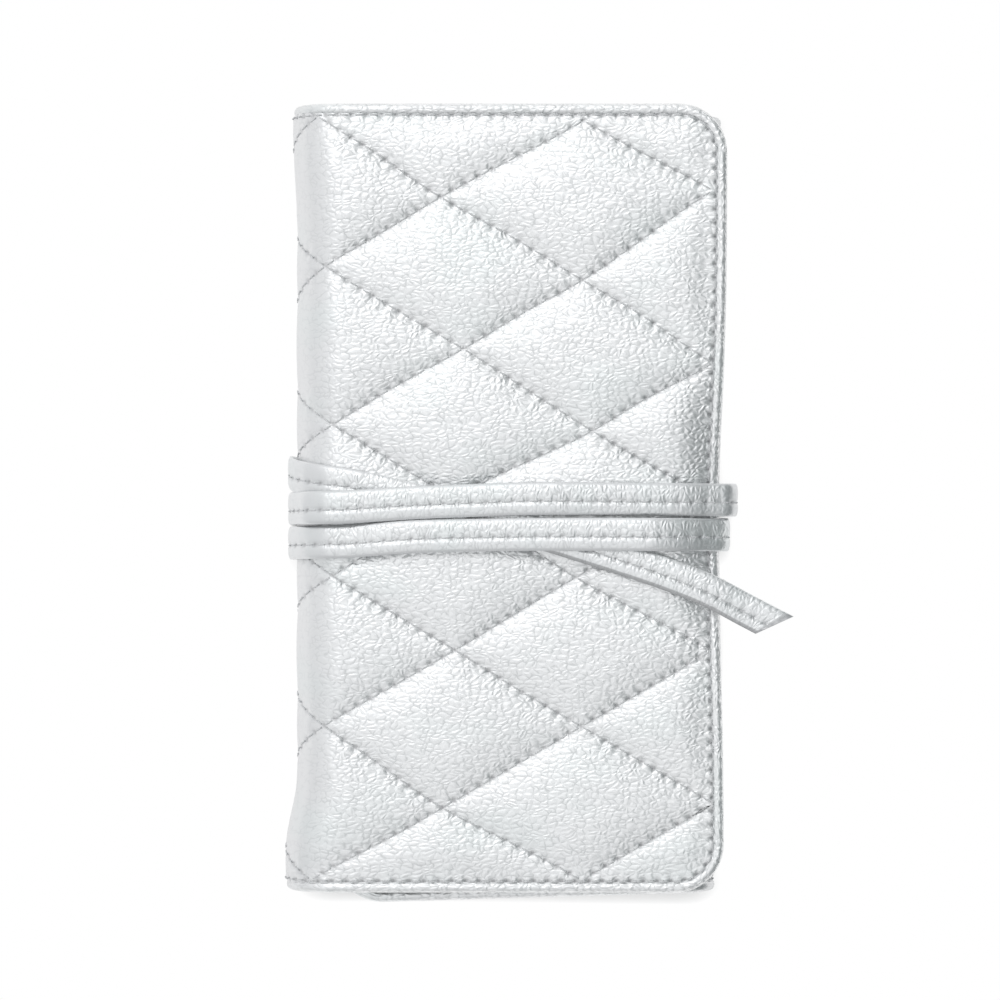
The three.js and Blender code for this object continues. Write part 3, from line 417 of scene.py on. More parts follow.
stitch_at = np.arange(STRAP_STITCH, strap_at[-1] - STRAP_UNSEWN_END, STRAP_STITCH)
sewn, run, up, across = (
    np.stack([np.interp(stitch_at, strap_at, column) for column in way.T], 1)
    for way in (strap_line, strap_run, strap_up, strap_across)
)
seam = sewn + across * STRAP_SEAM
rise = up * (STRAP_THICKNESS / 2 - THREAD_SUNK)
strap_thread = stitching(
    "tie_strap_thread",
    np.concatenate([(seam + side * rise + ROLL_CENTRE) * MM for side in (1, -1)]),
    np.concatenate([run, run]),
    np.concatenate([up, -up]),
    THREAD_LENGTH, 0.6, THREAD_HEIGHT,
)


def new_finish(name):
    """A new material, with its node tree and its surface."""
    material = bpy.data.materials.new(name)
    material.use_nodes = True
    return material, material.node_tree, material.node_tree.nodes["Principled BSDF"]


def noise(tree, where, scale, detail=2.0, roughness=0.5, output="Fac"):
    inputs = {"Vector": where, "Scale": scale, "Detail": detail, "Roughness": roughness}
    return wire(tree, "TexNoise", output, inputs)


def bumped(tree, height, distance):
    return wire(tree, "Bump", "Normal", {"Distance": distance, "Height": height})


def pebble_grain():
    """Node group of pebbled leather: cells with fine creases between them, on a UV map of lengths."""
    group = bpy.data.node_groups.new("pebble_grain", "ShaderNodeTree")
    for name, kind in (("Vector", "Vector"), ("Pebbles per metre", "Float"), ("Stretch", "Float")):
        group.interface.new_socket(name, in_out="INPUT", socket_type=f"NodeSocket{kind}")
    for name in ("Height", "Crease", "Patch"):
        group.interface.new_socket(name, in_out="OUTPUT", socket_type="NodeSocketFloat")
    inlet = group.nodes.new("NodeGroupInput").outputs
    outlet = group.nodes.new("NodeGroupOutput")
    narrow = wire(group, "CombineXYZ", 0, {"X": 1.0, "Y": inlet["Stretch"], "Z": 1.0})
    longer = wire(group, "VectorMath", 0, {0: inlet["Vector"], 1: narrow}, operation="MULTIPLY")
    pebbles = {0: longer, "Scale": inlet["Pebbles per metre"]}
    sized = wire(group, "VectorMath", 0, pebbles, operation="SCALE")
    drift = noise(group, sized, 0.3, output="Color")
    level = wire(group, "VectorMath", 0, {0: drift, 1: (0.5, 0.5, 0.5)}, operation="SUBTRACT")
    moved = wire(group, "VectorMath", 0, {0: level, 1: (2.6, 2.6, 0), 2: sized}, operation="MULTIPLY_ADD")
    cells = wire(
        group, "TexVoronoi", "Distance", {"Vector": moved, "Scale": 1.0, "Randomness": 0.85},
        voronoi_dimensions="2D", feature="DISTANCE_TO_EDGE",
    )
    fade = noise(group, sized, 0.8, detail=1.0)
    filled = maths(group, "ADD", cells, maths(group, "MULTIPLY_ADD", fade, 0.75, -0.29, clamp=True))
    crease = ranged(group, filled, 0, 0.2, 0, 1, kind="SMOOTHSTEP")
    # The domes carry most of the height, the creases between them and the pores only a little of it.
    dome = ranged(group, cells, 0, 0.48, 0, 1, kind="SMOOTHSTEP")
    swollen = maths(group, "MULTIPLY", dome, ranged(group, fade, 0.35, 0.65, 2.8, 5.0))
    lift = maths(group, "MULTIPLY_ADD", crease, 0.25, swollen)
    pores = noise(group, sized, 2.2, detail=3.0)
    height = maths(group, "MULTIPLY_ADD", pores, 0.6, lift)
    feed(group, outlet, {"Height": height, "Crease": crease, "Patch": noise(group, sized, 0.07)})
    return group


def silver_leather(name, top, crease_shade_tone, depth, pebbles, stretch):
    """Metallic silver leather: foil on a pebbled skin, dull in the creases, which are painted darker as
    shade, and faintly tinted in patches. The piece's own attributes mark its needle holes, darkened as
    painted shade, its raw edges, grey and partly painted shade, and where it is taut, smooth and painted
    greyer as shade, 1, or wrinkled, -2."""
    material, tree, skin = new_finish(name)
    inputs = {
        "Vector": wire(tree, "UVMap", "UV", {}, uv_map="lengths"),
        "Pebbles per metre": pebbles, "Stretch": stretch,
    }
    grain_group = bpy.data.node_groups.get("pebble_grain") or pebble_grain()
    grain = add(tree, "Group", inputs, node_tree=grain_group).outputs
    taut_and_shade = wire(tree, "Attribute", "Fac", {}, attribute_name="taut_and_shade")
    hole_shade_and_raw_edge = wire(tree, "Attribute", "Fac", {}, attribute_name="needle")
    tint = ramp(
        tree, grain["Patch"], [(0.3, (0.98, 1.0, 0.995, 1)), (0.5, (1, 1, 1, 1)), (1.0, (1, 1, 1, 1))]
    )
    # Painted shade: the creases between the pebbles take the darker crease tone.
    crease_shaded = mixed(tree, maths(tree, "MAXIMUM", grain["Crease"], taut_and_shade), crease_shade_tone, top)
    tinted = mixed(tree, 1.0, crease_shaded, tint, blend="MULTIPLY")
    # Painted shade: greyer where the leather is taut, round the folds and the strap's edges and turns.
    taut_shaded = mixed(tree, taut_and_shade, tinted, (0.84, 0.84, 0.845, 1), blend="MULTIPLY")
    relief = maths(tree, "MULTIPLY", grain["Height"], ranged(tree, taut_and_shade, -2, 1, 3, 0.05))
    feed(tree, skin, {
        # Painted shade: dark dots at the needle holes, and grey on the strap's raw edge, which is partly
        # painted shade.
        "Base Color": mixed(tree, hole_shade_and_raw_edge, taut_shaded, (0.28, 0.28, 0.29, 1)),
        "Roughness": ranged(tree, grain["Crease"], 0, 1, 0.55, 0.34),
        "Metallic": 0.78,
        "Normal": bumped(tree, relief, depth),
    })
    return material


def spun_thread(name, tone):
    """Polyester sewing thread: matt, with the light and dark of its twist."""
    material, tree, yarn = new_finish(name)
    twist = noise(tree, wire(tree, "TexCoord", "Object", {}), 2600.0)
    dark, light = (tone * 0.72, tone * 0.73, tone * 0.74, 1), (tone, tone * 1.01, tone * 1.02, 1)
    feed(tree, yarn, {
        "Base Color": ramp(tree, twist, [(0.35, dark), (0.65, light)]),
        "Roughness": 0.62,
        "Normal": bumped(tree, twist, 0.00006),
    })
    return material


# The crease tone is the painted shade in the strap's creases.
strap_leather = silver_leather(
    "strap_leather", top=(0.95, 0.96, 0.965, 1), crease_shade_tone=(0.77, 0.78, 0.785, 1), depth=0.00002,
    pebbles=720, stretch=0.65,
)
silver_thread = spun_thread("silver_thread", 0.82)
tie_strap.data.materials.append(strap_leather)
strap_thread.data.materials.append(silver_thread)
for piece in (tie_strap, strap_thread):
    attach(piece, "back")
    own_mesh(piece)
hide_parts("tie_strap")


# Quilted cover: one long piece of silver leather over wadding, sewn through in diamonds and turned in at a
# seam round its edge. Its puffs are blown up as cloth between fixed seams, then the sheet is folded round the
# roll. Places on it are given along it from the top flap's edge, across it, and in depth below its crest.
HALF_LENGTH = 114.5
FLAP_CORNER, INNER_CORNER = 14.0, 11.5
EDGE_WAIST, WAIST_MIDDLE, WAIST_REACH, EDGE_TILT = 2.2, -5.65, 45.0, 1.0
INNER_DROP, INNER_DROP_FROM, INNER_SKEW = 0.8, 25, 3.2
RIGHT_FLARE, RIGHT_DRAWN_IN, RIGHT_FOLD_REACH, RIGHT_TOP = 1.9, 1.8, 20, (70, 108)
FOLD_BULGE, TOP_FLARE, BOTTOM_FLARE = 0.7, 1.4, 3.6
TOP_FLARE_OVER, BOTTOM_FLARE_OVER, FLARE_OVER = (84, 108), (82, 104), (20, 62)
DROOP_REACH = 34.0
FLAP_FLAT = RIGHT_EDGE - LEFT_X
LEFT_END = FLAP_FLAT + math.pi * LEFT_RADIUS
BACK_END = LEFT_END + RIGHT_X - LEFT_X
RIGHT_END = BACK_END + math.pi * RIGHT_RADIUS
COVER_END = RIGHT_END + 98.5
LEFT_MIDDLE = (FLAP_FLAT + LEFT_END) / 2
BACK_MIDDLE = (LEFT_END + BACK_END) / 2
RIGHT_MIDDLE = (BACK_END + RIGHT_END) / 2
RIGHT_UPPER = RIGHT_END - math.pi / 4 * RIGHT_RADIUS
QUILT_START, QUILT_COLUMN, QUILT_ROW = 4.7, 37.6, 22.15
QUILT_DEPTH, FOLD_STRETCH = 1.45, 0.6
EDGE_SEAM, SEAM_MARGIN = 3.4, 1.2
STITCHES_PER_SIDE = 11
SIDE_LENGTH = math.hypot(QUILT_COLUMN, QUILT_ROW)
STITCH = SIDE_LENGTH / STITCHES_PER_SIDE
SEAM_SPACING = 2 * QUILT_COLUMN * QUILT_ROW / SIDE_LENGTH
HOLE_REACH, PUCKER_REACH = 0.65, 5.0
PAD_INSET, PAD_DEPTH, INSIDE_STEPS, CORNER_FADE = 1.7, 4.5, 6, 40
GROOVE_LOW, GROOVE_HIGH, GROOVE_RAMP, GROOVE_DEPTH = -23.0, 13.5, 6.0, 2.7
OUTLINE_STEP, WAIST_FADE = 0.8, 20


def eased_step(value, low, high):
    share = np.clip((value - low) / (high - low), 0, 1)
    return share * share * (3 - 2 * share)


def drawn_down(along, y):
    """How far the tie draws the flap's edge down, 0 to 1."""
    near_tie = np.exp(-(((y - WAIST_MIDDLE) / DROOP_REACH) ** 2))
    return np.clip(1 - along / DROOP_WIDTH, 0, 1) ** 2 * near_tie


def on_cover(along, y, depth):
    """Places in metres of points along the cover, across it, and below the quilting's crest, in
    millimetres."""
    depth = depth + DROOP * drawn_down(along, y)
    left = np.pi / 2 + (along - FLAP_FLAT) / LEFT_RADIUS
    right = (along - BACK_END) / RIGHT_RADIUS - np.pi / 2
    where = [along < FLAP_FLAT, along < LEFT_END, along < BACK_END, along < RIGHT_END]
    x = np.select(
        where,
        [
            RIGHT_EDGE - along, LEFT_X + (LEFT_RADIUS - depth) * np.cos(left),
            LEFT_X + along - LEFT_END, RIGHT_X + (RIGHT_RADIUS - depth) * np.cos(right),
        ],
        RIGHT_X - along + RIGHT_END,
    )
    z = np.select(
        where,
        [
            ROLL_HEIGHT - depth, LEFT_RADIUS + (LEFT_RADIUS - depth) * np.sin(left),
            depth, RIGHT_RADIUS + (RIGHT_RADIUS - depth) * np.sin(right),
        ],
        2 * RIGHT_RADIUS - depth,
    )
    slide = -INNER_SKEW * np.clip((along - RIGHT_UPPER) / (COVER_END - RIGHT_UPPER), 0, 1)
    slide = slide - INNER_DROP * eased_step(along, LEFT_END + INNER_DROP_FROM, BACK_END)
    right_top = np.exp(-(((along - RIGHT_MIDDLE) / RIGHT_FOLD_REACH) ** 4)) * eased_step(y, *RIGHT_TOP)
    slide = slide - RIGHT_DRAWN_IN * right_top
    flare = FOLD_BULGE + TOP_FLARE * eased_step(y, *TOP_FLARE_OVER)
    flare = flare + BOTTOM_FLARE * eased_step(-y, *BOTTOM_FLARE_OVER)
    x = x - flare * eased_step(-x, *FLARE_OVER) + RIGHT_FLARE * right_top
    return (np.stack([x, y + slide, z], -1) + ROLL_CENTRE) * MM


def edge_waist(y):
    """How far the flap's free edge stands back: drawn in by the tie, and a little more below it."""
    drawn_in = EDGE_WAIST * np.exp(-(((y - WAIST_MIDDLE) / WAIST_REACH) ** 2))
    return drawn_in + EDGE_TILT * eased_step(-y, 10, 60)


def from_edge(along, y):
    """Distance inwards from the cover's outline, whose two free ends have round corners."""
    ends = []
    for inward, radius in ((along - edge_waist(y), FLAP_CORNER), (COVER_END - along, INNER_CORNER)):
        out = radius - inward
        up = np.abs(y) - (HALF_LENGTH - radius)
        corner = np.hypot(np.maximum(out, 0), np.maximum(up, 0))
        ends.append(radius - corner - np.minimum(np.maximum(out, up), 0))
    return np.minimum(*ends)


def set_back(y, inset, corner):
    """How far a free end with round corners, at an inset, stands back from the cover's end."""
    past = np.maximum(0, np.abs(y) - (HALF_LENGTH - corner))
    return corner - np.sqrt(np.maximum(0, (corner - inset) ** 2 - past**2))


# How far the sewing drifts off an even lattice, along the cover and across it, where two seams cross. The
# crossings are counted from the flap's edge and from the middle of the cover's length.
DRIFT = {
    (0, 4): (-0.3, 0.9), (0, 2): (-0.3, -4.9), (0, -4): (-0.6, 0), (1, 5): (-0.6, -1.2), (1, 3): (0, -2.9),
    (1, 1): (-3.0, -2.3), (1, -1): (1.9, -0.8), (1, -3): (0, 0.3), (2, 4): (3.5, -1.2), (2, 2): (-3.1, -0.8),
    (2, -2): (-0.8, 0.3), (2, -4): (2.9, -1.2), (3, 3): (-0.9, 0.9), (3, 1): (-3.1, -0.8),
    (3, -1): (-3.1, -0.4), (3, -3): (-0.4, 0.4),
}
DRIFT_REACH = 24.0


def drifted(along, y):
    """Where a point of the even lattice lies on the sewn cover."""
    moved_along, moved_y = along, y
    for (column, row), (more_along, more_y) in DRIFT.items():
        gap = (along - QUILT_START - column * QUILT_COLUMN) ** 2 + (y - row * QUILT_ROW) ** 2
        near = np.exp(-gap / DRIFT_REACH**2)
        moved_along = moved_along + more_along * near
        moved_y = moved_y + more_y * near
    return moved_along, moved_y


def seam_lines(along, y):
    """How many seams of each family lie between the lattice's start and a point of the cover."""
    even_along, even_y = along, y
    for _ in range(3):
        sewn_along, sewn_y = drifted(even_along, even_y)
        even_along, even_y = even_along + along - sewn_along, even_y + y - sewn_y
    a, b = (even_along - QUILT_START) / QUILT_COLUMN / 2, even_y / QUILT_ROW / 2
    return a + b, a - b


PUFF_STEPS, PUFF_FIRST, PUFF_LAST = 14, -3, 8
PUFF_SCALE, PUFF_FRAMES, PUFF_MARGIN = 0.01, 16, 1.0
PUFF_CLOTH = {
    "vertex_group_mass": "seams", "quality": 4, "mass": 0.3, "tension_stiffness": 15,
    "compression_stiffness": 15, "shear_stiffness": 5, "bending_stiffness": 3, "shrink_min": -0.004,
    "use_pressure": True, "uniform_pressure_force": 24,
}
puff_count = (PUFF_LAST - PUFF_FIRST) * PUFF_STEPS
lines = PUFF_FIRST + np.arange(puff_count + 1) / PUFF_STEPS
puff_u, puff_v = np.meshgrid(lines, lines)
puff_along = QUILT_START + QUILT_COLUMN * (puff_u + puff_v)
puff_y = QUILT_ROW * (puff_u - puff_v)


def blown_puffs():
    """Heights of the cover's puffs over a grid along both families of seams, blown up as cloth at ten times
    the real size."""
    bm = bmesh.new()
    bmesh.ops.create_grid(bm, x_segments=puff_count, y_segments=puff_count, size=1.0)
    mesh = finished(bm, "puffs")
    flat = np.stack([puff_along, puff_y, np.zeros_like(puff_y)], -1) * PUFF_SCALE
    mesh.vertices.foreach_set("co", flat.ravel())
    puffs = in_scene("puffs", mesh)
    on_line = np.arange(puff_count + 1) % PUFF_STEPS == 0
    by_edge = from_edge(*drifted(puff_along, puff_y)) < EDGE_SEAM + PUFF_MARGIN
    held = on_line[:, None] | on_line[None, :] | by_edge
    seams = puffs.vertex_groups.new(name="seams")
    seams.add(np.flatnonzero(held.ravel()).tolist(), 1.0, "REPLACE")
    settings = puffs.modifiers.new("cloth", "CLOTH").settings
    for name, value in PUFF_CLOTH.items():
        setattr(settings, name, value)
    settings.effector_weights.gravity = 0
    for step in range(1, PUFF_FRAMES + 1):
        scene.frame_set(step)
    blown = puffs.evaluated_get(bpy.context.evaluated_depsgraph_get()).to_mesh()
    places = np.empty(len(blown.vertices) * 3)
    blown.vertices.foreach_get("co", places)
    puffs.to_mesh_clear()
    bpy.data.objects.remove(puffs)
    scene.frame_set(1)
    return np.abs(places.reshape(puff_count + 1, puff_count + 1, 3)[..., 2]) / PUFF_SCALE


puff_height = blown_puffs()
puff_height = np.clip(puff_height / np.percentile(puff_height, 97), 0, 1.05)


def puff_at(along, y):
    """Height of the quilting, 0 on its seams and about 1 in the middle of a diamond, smooth between the
    grid's points."""
    total = np.zeros_like(along)
    spots = [(line - PUFF_FIRST) * PUFF_STEPS for line in seam_lines(along, y)]
    bases = [np.clip(np.floor(spot).astype(int), 1, puff_count - 3) for spot in spots]
    weights = []
    for spot, base in zip(spots, bases):
        t = spot - base
        weights.append([
            (-t + 2 * t**2 - t**3) / 2, (2 - 5 * t**2 + 3 * t**3) / 2,
            (t + 4 * t**2 - 3 * t**3) / 2, (t**3 - t**2) / 2,
        ])
    for i in range(4):
        for j in range(4):
            total += weights[0][i] * weights[1][j] * puff_height[bases[1] + j - 1, bases[0] + i - 1]
    return total


# The seams' stitches and needle holes: along each line of the quilting, and round the edge.
stitches, holes = [], []
count = np.arange((PUFF_LAST - PUFF_FIRST) * STITCHES_PER_SIDE) / STITCHES_PER_SIDE + PUFF_FIRST
for family in (1, -1):
    way = np.array([QUILT_COLUMN, -family * QUILT_ROW]) / SIDE_LENGTH
    for line in range(PUFF_FIRST, PUFF_LAST + 1):
        for offset, found in ((0, holes), (0.5 / STITCHES_PER_SIDE, stitches)):
            other = count + offset
            along, y = drifted(
                QUILT_START + QUILT_COLUMN * (line + other), QUILT_ROW * family * (line - other)
            )
            inside = (along > 0) & (along < COVER_END) & (from_edge(along, y) > EDGE_SEAM + SEAM_MARGIN)
            found += [(s, t, *way) for s, t in zip(along[inside], y[inside])]


def outline(inset, start, free_end):
    """The cover's outline at an inset, as places along and across it, the way it runs and the way outwards,
    from a place along the cover round the free end and back."""
    corner = FLAP_CORNER if free_end == 0 else INNER_CORNER
    sign = 1 if free_end == 0 else -1
    radius = corner - inset
    turn = np.radians(np.linspace(0, 90, 13))
    straight = np.arange(abs(start - free_end), corner, -OUTLINE_STEP)
    edge = np.arange(HALF_LENGTH - corner - OUTLINE_STEP, corner - HALF_LENGTH, -OUTLINE_STEP)
    inward = np.concatenate([
        straight, corner - radius * np.sin(turn), np.full(len(edge), inset),
        corner - radius * np.cos(turn), straight[::-1],
    ])
    side = np.full(len(straight), HALF_LENGTH - inset)
    rounded = HALF_LENGTH - corner + radius * np.cos(turn)
    y = np.concatenate([side, rounded, edge, -rounded[::-1], -side])
    if free_end == 0:
        inward = inward + edge_waist(y) * np.clip((corner + WAIST_FADE - inward) / WAIST_FADE, 0, 1)
    points = np.stack([free_end + sign * inward, y], 1)
    run = unit(np.gradient(points, axis=0))
    return points, run, np.stack([-run[:, 1], run[:, 0]], 1) * sign


def spaced(points, ways, pitch, offset):
    """Points and ways at a pitch along a line."""
    at = lengths_along(points)
    stops = np.arange(offset, at[-1], pitch)
    return np.stack([np.interp(stops, at, column) for column in (*points.T, *ways.T)], 1)


edge_runs = [outline(EDGE_SEAM, BACK_MIDDLE, 0), outline(EDGE_SEAM, BACK_MIDDLE, COVER_END)]
edge_stitches = np.concatenate([spaced(points, run, STITCH, STITCH) for points, run, _ in edge_runs])
edge_holes = np.concatenate([spaced(points, run, STITCH, STITCH / 2) for points, run, _ in edge_runs])
stitches = np.concatenate([stitches, edge_stitches])
holes = np.concatenate([holes, edge_holes])
hole_pull = np.random.default_rng(7).uniform(0.5, 1.5, len(holes))
hole_pull[-len(edge_holes):] = 1.5
hole_tree = kdtree.KDTree(len(holes))
for number, (along, y, *_) in enumerate(holes):
    hole_tree.insert((along, y, 0), number)
hole_tree.balance()


def seam_distance(along, y):
    nearest = [np.abs(line - np.round(line)) * SEAM_SPACING for line in seam_lines(along, y)]
    return np.minimum(np.minimum(*nearest), np.abs(from_edge(along, y) - EDGE_SEAM))


def quilted(along, y):
    """Depth of the leather below the crest, and how much painted shade darkens each point by a needle hole.
    """
    edge = from_edge(along, y)
    rise = np.clip((edge - EDGE_SEAM) / 9, 0, 1)
    puff = np.clip(puff_at(along, y), 0, 1.1) * (1 - (1 - rise) ** 2)
    puff = 1 - (1 - np.clip(puff, 0, 1)) ** 1.2
    resting = np.clip((along - LEFT_END + 10) / 10, 0, 1) * np.clip((BACK_END + 10 - along) / 10, 0, 1)
    puff = puff * (1 - resting) + resting * np.minimum(1, puff / 0.8)
    on_fold = np.exp(-(((along - LEFT_MIDDLE) / 20) ** 2))
    depth = QUILT_DEPTH * (1 - puff) * (1 - FOLD_STRETCH * on_fold)
    seam = seam_distance(along, y)
    gap = np.full(along.shape, 9.0)
    pull = np.zeros(along.shape)
    for spot in np.flatnonzero(seam.ravel() < PUCKER_REACH):
        _, number, gap.ravel()[spot] = hole_tree.find((along.ravel()[spot], y.ravel()[spot], 0))
        pull.ravel()[spot] = hole_pull[number]
    beside = np.sqrt(np.maximum(gap**2 - seam**2, 0))
    pucker = np.cos(np.clip(beside / (STITCH / 2), 0, 1) * np.pi)
    pucker = pucker * np.exp(-seam / 2.2) * (seam < PUCKER_REACH)
    hole = np.exp(-((gap / HOLE_REACH) ** 2))
    depth += 0.06 * np.exp(-((seam / 0.7) ** 2)) + 0.09 * pull * pucker + 0.28 * hole
    under_rim = np.clip(EDGE_SEAM - edge, 0, 4)
    # Painted shade at the needle holes, weaker on the fold.
    hole_shade_strength = np.clip(0.4 + 0.45 * pull, 0, 1) * (1 - 0.6 * on_fold)
    return depth + 0.45 * under_rim, hole_shade_strength * hole


def grooved(places, along, y, spare):
    """The back pressed in where the strap passes under it."""
    outside = np.maximum(GROOVE_LOW - y, y - GROOVE_HIGH)
    roof = (GROOVE_DEPTH * (1 - np.clip(outside / GROOVE_RAMP, 0, 1)) + spare) * MM
    low = (along > LEFT_END - 12) & (along < BACK_END + 9)
    places[..., 2] = np.where(low, np.maximum(places[..., 2], roof), places[..., 2])
    return places


def on_folds(along):
    """Where the leather is stretched round the two folds, 0 to 1."""
    return np.exp(-(((along - LEFT_MIDDLE) / 17) ** 4)) + np.exp(-(((along - RIGHT_MIDDLE) / 14) ** 4))


def cover_pad(name, start, end, steps):
    """One stretch of the cover, closed: the quilted face, a plainer face inside, and walls between them."""
    side = HALF_LENGTH - PAD_INSET
    columns, rows = (round(run / step / INSIDE_STEPS) for run, step in zip((end - start, 2 * side), steps))
    bm = bmesh.new()
    bmesh.ops.create_grid(bm, x_segments=columns * INSIDE_STEPS, y_segments=rows * INSIDE_STEPS, size=1.0)
    for edge in bm.edges:
        edge.smooth = not edge.is_boundary
    inside = bmesh.ops.create_grid(bm, x_segments=columns, y_segments=rows, size=1.0)["verts"]
    bmesh.ops.translate(bm, verts=inside, vec=(0, 0, -1))
    bmesh.ops.bridge_loops(bm, edges=[edge for edge in bm.edges if edge.is_boundary])
    for face in bm.faces:
        face.smooth = True
    mesh = bpy.data.meshes.new(name)
    bm.to_mesh(mesh)
    flat = np.empty(len(mesh.vertices) * 3)
    mesh.vertices.foreach_get("co", flat)
    flat = flat.reshape(-1, 3)
    y = flat[:, 1] * side
    along = start + (flat[:, 0] + 1) / 2 * (end - start)
    if start == 0:
        back = set_back(y, PAD_INSET, FLAP_CORNER) + edge_waist(y)
        along = along + back * np.clip(1 - along / CORNER_FADE, 0, 1)
    elif end == COVER_END:
        back = set_back(y, PAD_INSET, INNER_CORNER)
        along = along - back * np.clip(1 - (COVER_END - along) / CORNER_FADE, 0, 1)
    face = flat[:, 2] > -0.5
    depth, needle = quilted(along, y)
    places = on_cover(along, y, np.where(face, depth, PAD_DEPTH))
    places[face] = grooved(places[face], along[face], y[face], 0.0)
    mesh.vertices.foreach_set("co", places.ravel())
    # Greyer round the folds, as painted shade where the leather curves away, and wrinkled where the tie draws
    # the edge down.
    taut_and_shade = on_folds(along) - 1.8 * np.sqrt(drawn_down(along, y))
    give_marks(mesh, np.stack([along, y], 1) * MM, {"needle": np.where(face, needle, 0), "taut_and_shade": taut_and_shade})
    bm.clear()
    bm.from_mesh(mesh)
    bmesh.ops.recalc_face_normals(bm, faces=bm.faces)
    bm.to_mesh(mesh)
    bm.free()
    return in_scene(name, mesh)


def stitch_ways(along, y, run_s, run_y, depth, reach, rise):
    """The ways that stitches run and stand up at places on the cover."""
    ahead = on_cover(along + reach * run_s, y + reach * run_y, depth)
    ahead = unit(ahead - on_cover(along - reach * run_s, y - reach * run_y, depth))
    up = on_cover(along, y, depth + rise) - on_cover(along, y, depth)
    return ahead, unit(up - ahead * np.sum(up * ahead, axis=1, keepdims=True))


# The crease tone is the painted shade in the cover's creases.
cover_leather = silver_leather(
    "cover_leather", top=(0.95, 0.955, 0.96, 1), crease_shade_tone=(0.78, 0.79, 0.795, 1), depth=0.00002,
    pebbles=460, stretch=1.5,
)
# Each stretch of the cover: where it starts and ends, the two bodies that it bends between, the hinge where
# it bends, half of the bend's reach, and the spacing of its mesh.
LEFT_HINGE_X, LEFT_HINGE_LOW, LEFT_HINGE_HIGH = -58.583, 4.1005, 23.8995
RIGHT_HINGE_X, RIGHT_HINGE_LOW, RIGHT_HINGE_HIGH = 57.534, 2.7825, 16.2175
SHOWN_MESH, HIDDEN_MESH = (0.6, 0.53), (0.8, 0.75)
STRETCHES = {
    "top_flap": (
        0, LEFT_MIDDLE, "left_spine", "top_flap", (LEFT_HINGE_X, LEFT_HINGE_HIGH), (6.8, 6.8), SHOWN_MESH,
    ),
    "left_back": (
        LEFT_MIDDLE, BACK_MIDDLE, "left_spine", "back", (LEFT_HINGE_X, LEFT_HINGE_LOW), (6.8, -6.8),
        HIDDEN_MESH,
    ),
    "right_back": (
        BACK_MIDDLE, RIGHT_MIDDLE, "back", "right_spine", (RIGHT_HINGE_X, RIGHT_HINGE_LOW), (4.6, 4.6),
        HIDDEN_MESH,
    ),
    "inner_flap": (
        RIGHT_MIDDLE, COVER_END, "right_spine", "inner_flap", (RIGHT_HINGE_X, RIGHT_HINGE_HIGH), (-4.6, 4.6),
        HIDDEN_MESH,
    ),
}


def bend(piece):
    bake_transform(piece)


COVERED = {
    "top_flap": ["top_flap_shell", "top_flap_wadding"],
    "left_back": ["left_spine_shell", "left_spine_wadding"],
    "right_back": ["back_shell", "back_wadding"],
    "inner_flap": ["inner_flap_shell", "inner_flap_wadding", "right_spine_shell", "right_spine_wadding"],
}
for stretch, (start, end, *_, steps) in STRETCHES.items():
    pad = cover_pad(f"{stretch}_quilting", start, end, steps)
    pad.data.materials.append(cover_leather)
    bend(pad)
    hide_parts(*COVERED[stretch])

    along, y, run_s, run_y = stitches[(stitches[:, 0] > start) & (stitches[:, 0] <= end)].T
    depth, _ = quilted(along, y)
    centres = grooved(on_cover(along, y, depth - 0.1), along, y, -0.1)
    ahead, up = stitch_ways(along, y, run_s, run_y, depth, 0.5, -1)
    thread = stitching(f"{stretch}_thread", centres, ahead, up, THREAD_LENGTH, 0.55, THREAD_HEIGHT)
    thread.data.materials.append(silver_thread)
    bend(thread)


# Turned rim: the cover's leather rolled over the edge of the wadding to the lining, outside the edge seam.
# It is a soft round roll, drawn in a little by every stitch.
RIM_HALF_WIDTH, RIM_HALF_HEIGHT, RIM_MIDDLE, RIM_SQUARE = 1.7, 2.15, 3.0, 0.85
RIM_SIDES, BACK_RIM_POINTS = 20, 90


def squared(wave, power):
    """A sine or cosine drawn towards its ends, which makes a circle squarer."""
    return np.sign(wave) * np.abs(wave) ** power


def rim(name, points, outward):
    at = lengths_along(points)
    around = np.linspace(0, 2 * np.pi, RIM_SIDES + 1)
    drawn = 1 - 0.045 * np.cos(at / STITCH * 2 * np.pi)[:, None] ** 2
    out = RIM_HALF_WIDTH * squared(np.cos(around), RIM_SQUARE)
    rise = RIM_HALF_HEIGHT * squared(np.sin(around), RIM_SQUARE) * drawn
    along = points[:, :1] + outward[:, :1] * out
    y = points[:, 1:] + outward[:, 1:] * out
    places = grooved(on_cover(along, y, RIM_MIDDLE - rise), along, y, 0.0)
    lengths = np.stack(np.broadcast_arrays(at[:, None], around * 1.9), -1) * MM
    # The rim is painted greyer as shade round the folds, and a little wrinkled elsewhere.
    piece = surface(name, places, lengths, marks={"taut_and_shade": 1.4 * on_folds(along) - 0.4})
    piece.data.materials.append(cover_leather)
    return piece


for stretch, start, free_end in (("top_flap", LEFT_MIDDLE, 0), ("inner_flap", RIGHT_MIDDLE, COVER_END)):
    points, _, outward = outline(RIM_HALF_WIDTH, start, free_end)
    bend(rim(f"{stretch}_rim", points, outward))
for stretch in ("left_back", "right_back"):
    along = np.linspace(*STRETCHES[stretch][:2], BACK_RIM_POINTS)
    for side, edge in ((1, "upper"), (-1, "lower")):
        points = np.stack([along, np.full(BACK_RIM_POINTS, side * (HALF_LENGTH - RIM_HALF_WIDTH))], 1)
        outward = np.stack([np.zeros(BACK_RIM_POINTS), np.full(BACK_RIM_POINTS, side)], 1)
        bend(rim(f"{stretch}_{edge}_rim", points, outward))


